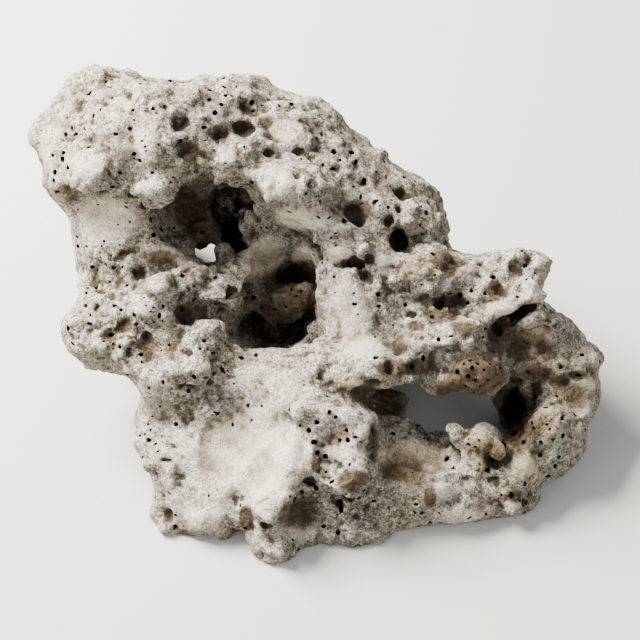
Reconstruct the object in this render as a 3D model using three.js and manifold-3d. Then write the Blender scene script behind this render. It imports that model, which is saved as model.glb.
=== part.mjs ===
// A piece of porous reef limestone, the kind sold as base rock for aquariums.
//
// The stone is modelled on its back, its broad carved face up: x runs across the face, y up it
// and z out of it, in millimetres. Masses and knobs melt into one body, caves and pits are cut
// from it, and its underside is cut off flat where it stands once the face is tipped up.
import * as THREE from "three";
import { ImprovedNoise } from "three/addons/math/ImprovedNoise.js";
import { MarchingCubes } from "three/addons/objects/MarchingCubes.js";
import { mergeVertices } from "three/addons/utils/BufferGeometryUtils.js";
import Module from "manifold-3d";

const TIP = 40; // degrees that the face is tipped up from lying flat
const RISE = 77; // height of the face's origin above the surface that the stone stands on
const REACH = 176; // half the side of the grid that the stone is grown on, across the face
const CELLS = 36; // cells along a side of that grid
const FRONT = 50; // the grid's front, out of the face
const DEPTH = 300; // and how far back it goes from there
const MELT = 0.6; // how far a lump melts into its neighbours, as a share of its least radius
const SETTLINGS = 4; // rounds that even out the facets of the body
const STAY = 0.4; // how far a corner keeps its place in one such round, from 0 to 1
const PROBE = 0.5; // the step that the body's slope is felt with
const HAIR = 0.05; // the least depth that is told apart from nought
const ROOM = 40000; // the most triangles that the grid has room for
const FACET = 10; // typical edge of a facet on a cave's wall
const MOST_SWELL = 0.3; // how far a boulder swells or shrinks at most, as a share of its radius
const PIT_DEPTH = 0.75; // how deep a pit goes, in its radii
const GROUND = [600, 600, 200]; // the block under the stone that cuts its underside off flat

// The stone's uneven swell and the waves that bend its lumps: length, height and shift of each.
const SWELLS = [
  { length: 27, height: 4, shift: [7.3, 2.1, 4.7] },
  { length: 14, height: 2.5, shift: [1.9, 8.2, 3.3] },
];
const BENDS = [
  { length: 31, height: 4, shift: [3.1, 5.7, 0] },
  { length: 31, height: 4, shift: [0, 9.4, 6.3] },
  { length: 31, height: 4, shift: [8.8, 0, 1.5] },
];

const wasm = await Module();
wasm.setup();
const noise = new ImprovedNoise();

// A closed geometry as a manifold-3d solid.
function solidOf(geometry) {
  const bare = new THREE.BufferGeometry();
  bare.setAttribute("position", geometry.getAttribute("position"));
  bare.setIndex(geometry.index);
  const merged = mergeVertices(bare, 1e-3);
  return new wasm.Manifold(
    new wasm.Mesh({
      numProp: 3,
      vertProperties: merged.attributes.position.array,
      triVerts: new Uint32Array(merged.index.array),
    }),
  );
}

// Height in millimetres of a wave at a point.
function waveAt({ length, height, shift }, x, y, z) {
  return height * noise.noise(x / length + shift[0], y / length + shift[1], z / length + shift[2]);
}

// Height in millimetres of the stone's uneven swell at a point.
function swellAt(x, y, z) {
  return SWELLS.reduce((sum, wave) => sum + waveAt(wave, x, y, z), 0);
}

// Rough distance from a point to the ellipsoid of a [centre, radii, turn] row: under 0 inside.
function distanceTo([[cx, cy, cz], [rx, ry, rz], turn = 0], x, y, z) {
  const angle = THREE.MathUtils.degToRad(turn);
  const [c, s] = [Math.cos(angle), Math.sin(angle)];
  const [dx, dy, dz] = [x - cx, y - cy, z - cz];
  const [u, v, w] = [(c * dx + s * dy) / rx, (c * dy - s * dx) / ry, dz / rz];
  const far = Math.hypot(u, v, w);
  return (far * (far - 1)) / Math.max(Math.hypot(u / rx, v / ry, w / rz), 1e-6);
}

// The lesser of two distances, rounded off over a stretch where they are near each other.
function melted(a, b, stretch) {
  const near = Math.max(stretch - Math.abs(a - b), 0);
  return Math.min(a, b) - (near * near) / (4 * stretch);
}

// Depth below the stone's surface: over 0 inside.
function depthAt(lumps, dents, x, y, z) {
  const bends = BENDS.map((wave) => waveAt(wave, x, y, z));
  const point = [x + bends[0], y + bends[1], z + bends[2]];
  let outside = DEPTH;
  for (const row of lumps) {
    outside = melted(outside, distanceTo(row, ...point), MELT * Math.min(...row[1]));
  }
  for (const row of dents) {
    outside = -melted(-outside, distanceTo(row, ...point), MELT * Math.min(...row[1]));
  }
  return swellAt(x, y, z) - outside;
}

// The skin where the depth is nought, on a grid whose cells grow longer towards the back.
function skinOf(depth) {
  const cubes = new MarchingCubes(CELLS, new THREE.MeshBasicMaterial(), false, false, ROOM);
  cubes.isolation = 0;
  const across = (i) => ((i - cubes.halfsize) / cubes.halfsize) * REACH;
  const back = (i) => {
    const share = 1 - i / CELLS;
    return FRONT - DEPTH * (0.6 * share + 0.4 * share * share);
  };
  for (let cell = 0; cell < CELLS ** 3; cell++) {
    const [i, j, k] = [cell % CELLS, Math.floor(cell / CELLS) % CELLS, Math.floor(cell / CELLS ** 2)];
    const here = depth(across(i), across(j), back(k));
    cubes.field[i + j * cubes.yd + k * cubes.zd] = Math.abs(here) < HAIR ? HAIR : here;
  }
  cubes.update();
  const corners = cubes.positionArray.slice(0, cubes.count * 3);
  for (let i = 0; i < corners.length; i += 3) {
    corners[i] *= REACH;
    corners[i + 1] *= REACH;
    corners[i + 2] = back((corners[i + 2] + 1) * cubes.halfsize);
  }
  const geometry = new THREE.BufferGeometry();
  geometry.setAttribute("position", new THREE.BufferAttribute(corners, 3));
  return mergeVertices(geometry, 1e-3);
}

// Evens out a skin's facets: each corner moves to the middle of its neighbours, then back onto
// the surface where the depth is nought.
function settle(skin, depth, rounds) {
  const { position } = skin.attributes;
  const corner = new THREE.Vector3();
  for (let round = 0; round < rounds; round++) {
    const middle = new Float32Array(position.count * 3);
    const met = new Uint16Array(position.count);
    for (let i = 0; i < skin.index.count; i++) {
      const from = skin.index.getX(i);
      const to = skin.index.getX(i % 3 === 2 ? i - 2 : i + 1);
      corner.fromBufferAttribute(position, to);
      middle[3 * from] += corner.x;
      middle[3 * from + 1] += corner.y;
      middle[3 * from + 2] += corner.z;
      met[from]++;
    }
    for (let i = 0; i < position.count; i++) {
      corner.fromArray(middle, 3 * i).divideScalar(met[i]);
      corner.lerp(new THREE.Vector3().fromBufferAttribute(position, i), STAY);
      for (let step = 0; step < 2; step++) {
        const here = depth(corner.x, corner.y, corner.z);
        const slope = new THREE.Vector3(
          depth(corner.x + PROBE, corner.y, corner.z) - here,
          depth(corner.x, corner.y + PROBE, corner.z) - here,
          depth(corner.x, corner.y, corner.z + PROBE) - here,
        ).divideScalar(PROBE);
        const shift = THREE.MathUtils.clamp(here / Math.max(slope.lengthSq(), 0.3), -2, 2);
        corner.addScaledVector(slope, -shift);
      }
      position.setXYZ(i, corner.x, corner.y, corner.z);
    }
  }
  return skin;
}

// An uneven boulder: an icosphere stretched to three radii, turned in the face's plane and swollen.
function boulder([x, y, z], [rx, ry, rz], turn = 0, facet = FACET) {
  const radius = Math.cbrt(rx * ry * rz);
  const detail = Math.max(0, Math.round((1.15 * radius) / facet - 0.6));
  const geometry = new THREE.IcosahedronGeometry(1, detail);
  const place = new THREE.Matrix4()
    .makeTranslation(x, y, z)
    .multiply(new THREE.Matrix4().makeRotationZ(THREE.MathUtils.degToRad(turn)))
    .multiply(new THREE.Matrix4().makeScale(rx, ry, rz));
  geometry.applyMatrix4(place);
  const position = geometry.attributes.position;
  const centre = new THREE.Vector3(x, y, z);
  const point = new THREE.Vector3();
  for (let i = 0; i < position.count; i++) {
    point.fromBufferAttribute(position, i);
    const swell = swellAt(point.x, point.y, point.z) / radius;
    const share = THREE.MathUtils.clamp(swell, -MOST_SWELL, MOST_SWELL);
    point.sub(centre).multiplyScalar(1 + share).add(centre);
    position.setXYZ(i, point.x, point.y, point.z);
  }
  return solidOf(geometry);
}

// Joins the boulders of a list of [centre, radii, turn] rows into one solid.
function heap(rows, facet) {
  return rows
    .map(([centre, radii, turn]) => boulder(centre, radii, turn, facet))
    .reduce((all, one) => all.add(one));
}

// The big masses of the stone. Each row is [centre, radii, turn in degrees].
const MASSES = [
  // head and ridge
  [[-104, 90, -38], [41, 38, 36]],
  [[-94, 82, -17], [38, 27, 23], 8],
  [[-58, 92, -40], [42, 33, 36]],
  [[-18, 83, -44], [38, 34, 36]],
  [[18, 61, -46], [34, 30, 36], -35],
  [[38, 46, -44], [20, 26, 30]],
  // column under the head, the knuckles beside it and the bridge to the middle
  [[-97, 35, -46], [29, 28, 33]],
  [[-100, -2, -34], [26, 20, 22]],
  [[-72, -12, -25], [22, 22, 22]],
  [[-60, 20, -28], [26, 12, 14]],
  [[-26, 26, -48], [26, 24, 20]],
  // slab and belt
  [[-28, -62, -24], [50, 41, 32]],
  [[4, -66, -12], [28, 32, 24]],
  [[-58, -74, -22], [26, 30, 24]],
  [[-10, -98, -15], [40, 13, 15]],
  [[-32, -28, -15], [34, 14, 16]],
  [[10, -22, -13], [34, 13, 18], 8],
  // shoulder
  [[16, 14, -30], [20, 32, 28]],
  [[52, 12, -30], [36, 22, 26]],
  [[88, 8, -34], [26, 20, 24]],
  [[60, -14, -24], [34, 13, 22]],
  [[106, -14, -34], [18, 16, 16]],
  // ring round the opening
  [[122, -16, -33], [14, 19, 17]],
  [[129, -44, -33], [14, 20, 16]],
  [[112, -64, -27], [16, 17, 17]],
  [[92, -80, -23], [18, 15, 17]],
  [[62, -80, -21], [30, 19, 18]],
  [[36, -84, -20], [28, 20, 18]],
  [[40, -60, -30], [30, 16, 16]],
  [[24, -44, -40], [24, 14, 14]],
  // back and feet
  [[-10, -10, -78], [56, 42, 32]],
  [[60, 14, -50], [40, 23, 24]],
  [[-38, 52, -72], [20, 18, 16]],
  [[-62, 68, -64], [32, 27, 24]],
  [[22, 34, -90], [34, 26, 42]],
  [[-101, 45, -98], [27, 24, 50]],
];

// Knobs that stand out from the masses.
const KNOBS = [
  // head
  [[-121, 76, -20], [19, 18, 18], 20],
  [[-132, 95, -30], [16, 17, 16]],
  [[-117, 118, -34], [16, 13, 14]],
  [[-92, 108, -16], [17, 14, 14], -10],
  [[-75, 61, -1], [13, 9, 10], -25],
  [[-84, 68, 4], [14, 12, 10], -20],
  [[-108, 74, 0], [14, 12, 11]],
  [[-100, 98, -4], [16, 12, 11], 15],
  [[-78, 86, 0], [14, 10, 9], -25],
  // ridge
  [[-68, 104, -18], [15, 12, 13]],
  [[-46, 114, -30], [18, 13, 15]],
  [[-48, 76, -5], [12, 9, 10]],
  [[-12, 67, -2], [20, 15, 16], -20],
  [[-14, 98, -22], [16, 12, 13]],
  [[16, 80, -26], [16, 11, 13], -35],
  [[36, 54, -18], [15, 12, 12], -40],
  [[54, 45, -32], [11, 13, 16]],
  [[46, 66, -52], [14, 12, 14]],
  [[10, 42, -8], [18, 9, 12], -15],
  // column and knuckles
  [[-84, 44, -22], [12, 16, 10]],
  [[-121, 50, -52], [14, 14, 16]],
  [[-112, 20, -40], [12, 8, 12]],
  [[-113, -6, -26], [18, 17, 18]],
  [[-96, -14, -14], [14, 13, 13]],
  [[-84, 6, -12], [13, 9, 11]],
  [[-65, 22, -14], [11, 9, 10]],
  [[-50, 15, -14], [12, 9, 12]],
  [[-52, -8, -6], [12, 10, 11]],
  [[-60, -26, -6], [13, 12, 12], 25],
  [[-80, -30, -14], [13, 14, 15]],
  [[-22, 13, -44], [17, 11, 14], 8],
  // slab and belt
  [[2, -49, 2], [28, 11, 14], -4],
  [[14, -64, 2], [17, 24, 16], 12],
  [[-84, -54, -24], [14, 13, 13]],
  [[-76, -72, -10], [13, 12, 13], 20],
  [[-54, -98, -8], [16, 13, 13]],
  [[-78, -96, -18], [11, 12, 12]],
  [[-68, -103, -16], [12, 10, 11]],
  [[-24, -94, 7], [11, 9, 9], 25],
  [[-22, -113, -5], [15, 11, 11]],
  [[16, -107, -10], [18, 12, 11]],
  [[42, -98, -20], [18, 12, 14]],
  [[-15, -34, -1], [11, 8, 10], 10],
  [[28, -24, 0], [22, 9, 12], 8],
  // shoulder
  [[26, 30, -10], [12, 9, 10], 20],
  [[50, 26, -12], [19, 12, 13], -20],
  [[78, 20, -17], [17, 11, 14], -15],
  [[104, 25, -25], [16, 15, 17], 30],
  [[98, 8, -15], [14, 12, 12]],
  [[64, -6, -4], [24, 9, 11], 6],
  [[81, -27, -9], [16, 13, 14]],
  [[60, -32, -15], [12, 8, 11]],
  // ring
  [[137, -18, -30], [11, 9, 11], 10],
  [[114, -2, -26], [13, 12, 14]],
  [[137, -40, -30], [9, 12, 12]],
  [[124, -66, -24], [13, 13, 13]],
  [[118, -54, -15], [13, 12, 11]],
  [[100, -76, -11], [13, 12, 11]],
  [[80, -60, -13], [13, 10, 11]],
  [[101, -90, -18], [10, 8, 10]],
  [[86, -95, -22], [14, 10, 12]],
  [[72, -92, -12], [17, 10, 11]],
  [[50, -84, -7], [18, 10, 10]],
  // back and feet
  [[-118, 34, -104], [16, 15, 28]],
  [[-88, 62, -104], [16, 13, 24]],
  [[-112, 66, -84], [24, 17, 22]],
  [[-128, 80, -56], [16, 20, 20]],
  [[-86, 104, -64], [24, 17, 18]],
  [[-44, 96, -68], [22, 16, 16]],
  [[-8, 84, -76], [26, 16, 18]],
  [[8, 48, -104], [18, 14, 24]],
  [[44, 46, -92], [20, 15, 24]],
  [[36, 16, -84], [20, 16, 26]],
  [[50, 54, -62], [18, 14, 18]],
  [[92, 24, -50], [20, 13, 16]],
];

// Caves and holes, cut with a sharp rim.
const CAVES = [
  [[-61, 54, -15], [26, 19, 29]],
  [[-44, 58, -36], [14, 14, 30]],
  [[-44, 45, -42], [11, 9, 18]],
  [[-57, 31, -42], [4, 3.4, 46]],
  [[-64, 33, -105], [13, 11, 60]],
  [[-13, 13, -32], [14, 23, 33]],
  [[-27, -3, -36], [22, 12, 30]],
  [[-27, 9, -28], [15, 15, 28]],
  [[-20, 31, -26], [17, 10, 20], -10],
  [[61, -48, -40], [19, 10, 80], -6],
  [[80, -45, -40], [13, 6, 60], 10],
  [[98, -43, -30], [10, 13, 22]],
  [[32, -32, -22], [18, 4, 18], -4],
  [[100, 3, -8], [14, 4, 16], 25],
  [[89, -7, -6], [9, 5, 12], -20],
  [[14, 29, -6], [10, 3, 9], -10],
];

// Lumps inside the caves.
const STUMPS = [
  [[104, -44, -46], [17, 17, 14]],
  [[-17, 10, -47], [18, 11, 14], 15],
  [[-30, 16, -52], [12, 12, 14]],
  [[-34, 46, -47], [8, 13, 12], 30],
];

// Pits big enough to shape the face, as [x, y, radius].
const PITS = [
  [-69, 99, 6],
  [-66, 85, 6],
  [-49, 94, 6],
  [-36, 108, 5],
  [-27, 99, 5],
  [17, 52, 8],
  [27, -71, 5],
  [-36, -97, 6],
];

// Soft hollows in the body.
const DENTS = [
  [[-106, 44, 0], [34, 10, 20], -6],
  [[-84, 29, -12], [10, 7, 10]],
  [[-42, -56, 26], [32, 26, 28], 15],
  [[-64, 12, -8], [9, 8, 9]],
  [[36, 40, -14], [12, 6, 10], -30],
  [[-106, -12, -58], [30, 26, 22]],
  [[-28, 112, -84], [20, 14, 14]],
  [[-104, 126, -62], [16, 12, 14]],
  [[14, 82, -92], [16, 12, 18]],
  [[-70, 92, -96], [18, 12, 16]],
  [[-124, 56, -92], [12, 12, 16]],
  [[44, 62, -86], [12, 10, 20]],
  [[20, 60, -122], [14, 8, 16]],
  [[76, 40, -44], [14, 8, 14]],
];

const depth = (x, y, z) => depthAt([...MASSES, ...KNOBS], DENTS, x, y, z);
const body = solidOf(settle(skinOf(depth), depth, SETTLINGS));
const carved = body.subtract(heap(CAVES, FACET)).add(heap(STUMPS, FACET));

// How far out the body's face is at a place on it.
function faceAt(x, y) {
  let z = FRONT;
  while (depth(x, y, z) < 0 && z > FRONT - DEPTH) z--;
  return z;
}

const pits = PITS.map(([x, y, radius]) => [
  [x, y, faceAt(x, y)],
  [radius, radius, radius * PIT_DEPTH],
]);
const pitted = carved.subtract(heap(pits, FACET));

// The stone's place when it stands: its face tipped up and raised over the surface.
const standing = new THREE.Matrix4()
  .makeTranslation(0, 0, RISE)
  .multiply(new THREE.Matrix4().makeRotationX(THREE.MathUtils.degToRad(TIP)));
const ground = new THREE.BoxGeometry(...GROUND)
  .translate(0, 0, -GROUND[2] / 2)
  .applyMatrix4(standing.clone().invert());
const whole = pitted.subtract(solidOf(ground));

// A manifold-3d solid as a geometry for a mesh.
function geometryOf(solid) {
  const { vertProperties, triVerts } = solid.getMesh();
  const geometry = new THREE.BufferGeometry();
  geometry.setAttribute("position", new THREE.BufferAttribute(vertProperties, 3));
  geometry.setIndex(new THREE.BufferAttribute(triVerts, 1));
  geometry.computeVertexNormals();
  return geometry;
}

const stone = new THREE.MeshStandardMaterial({ color: 0xcfc8bb, roughness: 0.95, metalness: 0 });
const rock = new THREE.Mesh(geometryOf(whole), stone);
rock.name = "rock";
rock.rotation.x = THREE.MathUtils.degToRad(TIP);
rock.position.z = RISE;

// The origin is the middle of the stone's length and width, on the surface that it stands on.
const middle = new THREE.Box3().setFromObject(rock, true).getCenter(new THREE.Vector3());
rock.position.x -= middle.x;
rock.position.y -= middle.y;

const root = new THREE.Group();
root.add(rock);

export default root;
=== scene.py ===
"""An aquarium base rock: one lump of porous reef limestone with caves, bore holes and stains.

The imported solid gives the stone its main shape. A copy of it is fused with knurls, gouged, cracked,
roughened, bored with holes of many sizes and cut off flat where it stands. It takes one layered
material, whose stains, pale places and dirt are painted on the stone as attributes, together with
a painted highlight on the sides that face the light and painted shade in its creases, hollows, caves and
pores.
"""

from __future__ import annotations

import itertools
import logging
import math
import random
from dataclasses import dataclass, field
from enum import Enum
from typing import Any, Iterable, Iterator, Sequence

import bpy
import numpy as np
from mathutils import Matrix, Vector
from mathutils.bvhtree import BVHTree
from mathutils.kdtree import KDTree

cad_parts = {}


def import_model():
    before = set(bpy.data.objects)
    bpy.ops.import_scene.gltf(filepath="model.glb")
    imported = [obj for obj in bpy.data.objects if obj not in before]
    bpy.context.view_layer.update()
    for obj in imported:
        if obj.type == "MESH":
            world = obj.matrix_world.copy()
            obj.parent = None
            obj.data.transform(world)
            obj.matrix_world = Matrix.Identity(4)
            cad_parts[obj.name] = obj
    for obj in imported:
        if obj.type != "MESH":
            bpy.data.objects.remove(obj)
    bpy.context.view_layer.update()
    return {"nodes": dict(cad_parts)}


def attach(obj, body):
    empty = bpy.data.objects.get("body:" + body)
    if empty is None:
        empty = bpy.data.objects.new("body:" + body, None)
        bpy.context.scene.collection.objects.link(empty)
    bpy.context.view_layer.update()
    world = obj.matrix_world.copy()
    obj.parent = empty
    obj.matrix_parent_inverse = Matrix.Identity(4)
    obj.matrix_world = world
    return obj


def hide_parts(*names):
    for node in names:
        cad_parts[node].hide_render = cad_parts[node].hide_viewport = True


LOG = logging.getLogger("base_rock")

MM = 0.001
NODE = "rock"
SEED = 11

Colour = tuple[float, float, float]
Number = float | int


class Stain(Enum):
    """What is painted on the stone, by the name of its attribute."""

    CALM = "calm"
    BROWN = "brown"
    OCHRE = "ochre"
    CHALK_AND_HIGHLIGHT = "chalk"
    PINK = "pink"
    GREEN = "green"
    RED = "red"


@dataclass(frozen=True)
class Mark:
    """One mark on the stone's face, in millimetres.

    Attributes:
        x: its place across the face.
        y: its place up the face.
        wide: half its width.
        tall: half its height, or 0 where it is as tall as wide.
        deep: how far it stands out or goes in.
        turn: degrees that it is turned to the left.
    """

    x: float
    y: float
    wide: float
    tall: float = 0.0
    deep: float = 0.0
    turn: float = 0.0

    @property
    def half(self) -> tuple[float, float]:
        """Half its width and half its height."""
        return self.wide, self.tall or self.wide


# ------------------------------------------------------------------------------------------
# The stone's own marks, each placed one by one on its face
# ------------------------------------------------------------------------------------------

# Knurls: x, y, half width, half height, how far it stands out, turn.
KNURLS = (
    (-93, 117, 8, 4, 1), (-108, 112, 9, 7, 2), (-80, 115, 9, 8, 3), (-62, 112, 7, 5, 2.5, 25),
    (-114, 75, 8, 5, 3), (-132, 95, 8, 10, 2), (-125, 110, 7, 8, 2), (-112, 122, 8, 4, 2.5),
    (-100, 98, 9, 8, 2), (-85, 85, 9, 10, 3), (-102, 82, 7, 6, 1.5), (-130, 80, 5, 6, 1.5),
    (-84, 65, 8, 6, 4), (-70, 75, 5, 6, 2.5), (-110, 68, 6, 4, 2), (-98, 67, 5, 4, 2),
    (-45, 112, 8, 8, 2), (-50, 101, 6, 5, 1.5), (-47, 80, 7, 6, 4), (-36, 85, 6, 6, 2.5),
    (-60, 79, 4, 3, 1.5), (-58, 89, 4, 4, 1.5), (-30, 92, 6, 5, 2), (-42, 91, 5, 4, 2),
    (-22, 107, 8, 5, 2.5), (-8, 103, 7, 4, 2), (2, 97, 6, 6, 2), (-4, 91, 5, 5, 2), (10, 89, 5, 4, 1.5),
    (14, 79, 4, 3, 1.5), (22, 90, 6, 4, 2), (30, 84, 6, 5, 2), (38, 80, 5, 4, 2), (26, 74, 5, 5, 2),
    (45, 76, 5, 4, 2), (33, 66, 5, 6, 2), (50, 66, 5, 5, 2.5), (46, 56, 5, 5, 2.5), (56, 58, 5, 5, 2),
    (60, 50, 4, 4, 2.5), (55, 46, 4, 4, 2), (47, 47, 5, 4, 2), (38, 49, 4, 3, 1.5), (28, 58, 3, 4, 2),
    (12, 72, 5, 3, 2), (5, 65, 6, 4, 2), (-5, 76, 8, 4, 2, -25), (5, 79, 5, 2.5, 2, -25),
    (14, 66, 3, 2.5, 1.5), (26, 45, 5, 4, 1.5), (9, 45, 7, 5, 2), (-20, 68, 9, 8, 4),
    (-24, 61, 6, 4, 2.5), (-8, 68, 6, 6, 2), (0, 68, 5, 4, 1.5), (-10, 48, 13, 7, 2.5),
    (-30, 54, 6, 6, 1.5), (-33, 62, 3, 5, 1.5), (9, 34, 7, 5, 2.5), (22, 35, 5, 4, 2.5),
    (12, 21, 7, 5, 1), (31, 27, 6, 6, 3), (28, 14, 4, 6, 2, -20), (38, 20, 6, 4, 2.5),
    (45, 26, 6, 5, 2.5), (53, 26, 4, 4, 2), (62, 30, 6, 4, 2), (49, 36, 6, 4, 2), (72, 24, 7, 4, 2.5),
    (63, 14, 5, 6, 3), (51, 4, 6, 4, 1.5), (55, 16, 4, 3, 1.5), (77, 11, 5, 4, 3.5), (82, 17, 5, 4, 2),
    (93, 24, 5, 6, 2.5), (98, 32, 6, 5, 3), (110, 29, 5, 6, 2.5), (104, 18, 5, 6, 2.5),
    (91, 6, 9, 4, 2), (112, 12, 5, 5, 2), (115, 0, 5, 5, 2.5), (106, -4, 5, 4, 2, -40),
    (98, -8, 5, 5, 1.5), (88, -18, 2.5, 4, 2.5), (73, -24, 5, 5, 3), (82, -27, 6, 6, 3.5),
    (77, -34, 5, 4, 2), (92, -27, 5, 4, 2), (62, -31, 5, 4, 2.5), (47, -28, 6, 3, 2.5),
    (28, -27, 5, 3, 2), (60, -12, 8, 3, 2.5), (47, -12, 6, 3, 2), (75, -11, 5, 3, 2, 20),
    (30, -18, 4, 3, 1.5), (14, -31, 7, 4, 2.5), (24, -5, 5, 8, 1.5), (119, -22, 6, 4, 2.5),
    (130, -22, 5, 5, 2), (138, -20, 4, 5, 2.5), (138, -33, 3, 4, 2), (104, -34, 5, 4, 2),
    (112, -34, 5, 5, 1.5), (134, -46, 4, 5, 1.5), (130, -56, 4, 4, 1.5), (113, -47, 6, 5, 2.5),
    (103, -49, 6, 4, 3), (79, -60, 8, 6, 3), (94, -55, 7, 3, 2), (104, -60, 5, 4, 2),
    (115, -58, 5, 5, 2), (119, -66, 4, 5, 2), (116, -76, 4, 4, 2), (102, -73, 8, 7, 4),
    (105, -84, 5, 4, 2), (98, -93, 5, 3.5, 3), (86, -86, 4, 4, 2), (75, -77, 5, 3, 2),
    (60, -85, 8, 5, 2.5), (68, -96, 8, 5, 1.5), (85, -95, 6, 5, 2), (40, -83, 6, 5, 1.5),
    (45, -100, 8, 5, 1.5), (30, -98, 6, 4, 1.5), (48, -62, 6, 4, 1.5), (36, -57, 5, 4, 2.5),
    (50, -51, 4, 4, 2), (70, -54, 4, 2.5, 1.5), (0, -44, 12, 3.5, 3), (14, -49, 7, 6, 3),
    (12, -61, 6, 4, 2.5), (22, -56, 4, 6, 2), (-25, -60, 8, 14, 1.5, -30), (-26, -95, 7, 5.5, 5),
    (-13, -80, 6, 7, 1.5), (1, -76, 5, 4, 1.5), (15, -88, 4, 3, 1.5), (24, -80, 4, 6, 2),
    (20, -96, 6, 4, 1.5), (-60, -100, 9, 6, 2.5), (-72, -90, 5, 6, 2), (-48, -105, 7, 4, 2),
    (-78, -104, 4, 3, 1.5), (-74, -78, 4, 6, 2), (-72, -49, 6, 6, 1.5), (-58, -47, 8, 6, 1.5),
    (-85, -57, 4, 5, 3), (-92, -60, 3, 4, 2), (-83, -45, 4, 5, 1.5), (16, -117, 3.5, 3, 3),
    (-20, -115, 7, 5, 3), (-5, -112, 6, 3, 2), (5, -107, 6, 3, 1.5), (-60, -26, 6, 5, 2),
    (-75, -25, 6, 5, 2), (-86, -26, 4, 5, 1.5), (-46, -33, 6, 4, 1.5), (-71, -40, 6, 3, 1.5),
    (-58, -5, 6, 4.5, 3), (-77, 2, 7, 6, 2.5), (-86, 5, 6, 5, 2.5), (-68, 18, 5, 6, 3),
    (-57, 12, 6, 4, 2.5), (-50, 19, 6, 5, 1.5), (-78, -8, 6, 4, 2), (-66, -10, 6, 4, 2),
    (-47, -18, 5, 3, 2), (-81, 17, 6, 4, 1.5), (-103, 6, 6, 6, 2), (-113, 0, 6, 5, 2),
    (-122, -3, 6, 5, 2.5), (-122, -14, 6, 5, 2), (-111, -13, 7, 4, 2), (-100, -19, 6, 4, 2),
    (-92, -2, 4, 4, 1.5), (-96, -25, 4, 3, 2), (-105, 15, 6, 4, 2.5), (-116, 13, 4, 5, 2.5),
    (-97, 16, 5, 4, 2), (-106, 30, 7, 5, 1.5), (-113, 36, 4, 4, 1.5), (-58, 43, 9, 9, 8),
    (-48, 34, 6, 6, 4), (-66, 35, 6, 6, 5), (-57, 26, 5, 3, 2.5), (-47, 56, 7, 6, 6),
    (106, 0, 9, 5, 4, 25), (93, -1, 7, 5, 5), (-101, 89, 18, 14, 3), (-51, 40, 6, 6, 7),
    (-63, 41, 6, 6, 8), (-20, -93, 12, 5, 4, 35), (-10, -46, 7, 5, 3, 60), (-12, -58, 5, 8, 3, -5),
    (-15, -70, 5, 8, 3, -10), (-18, -82, 5, 7, 3, -10), (17, 52, 8, 7, 5), (33, 36, 5, 4, 2),
    (21, 40, 4, 4, 2), (44, 41, 5, 5, 3), (14, 25, 7, 3, 2),
)

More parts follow.
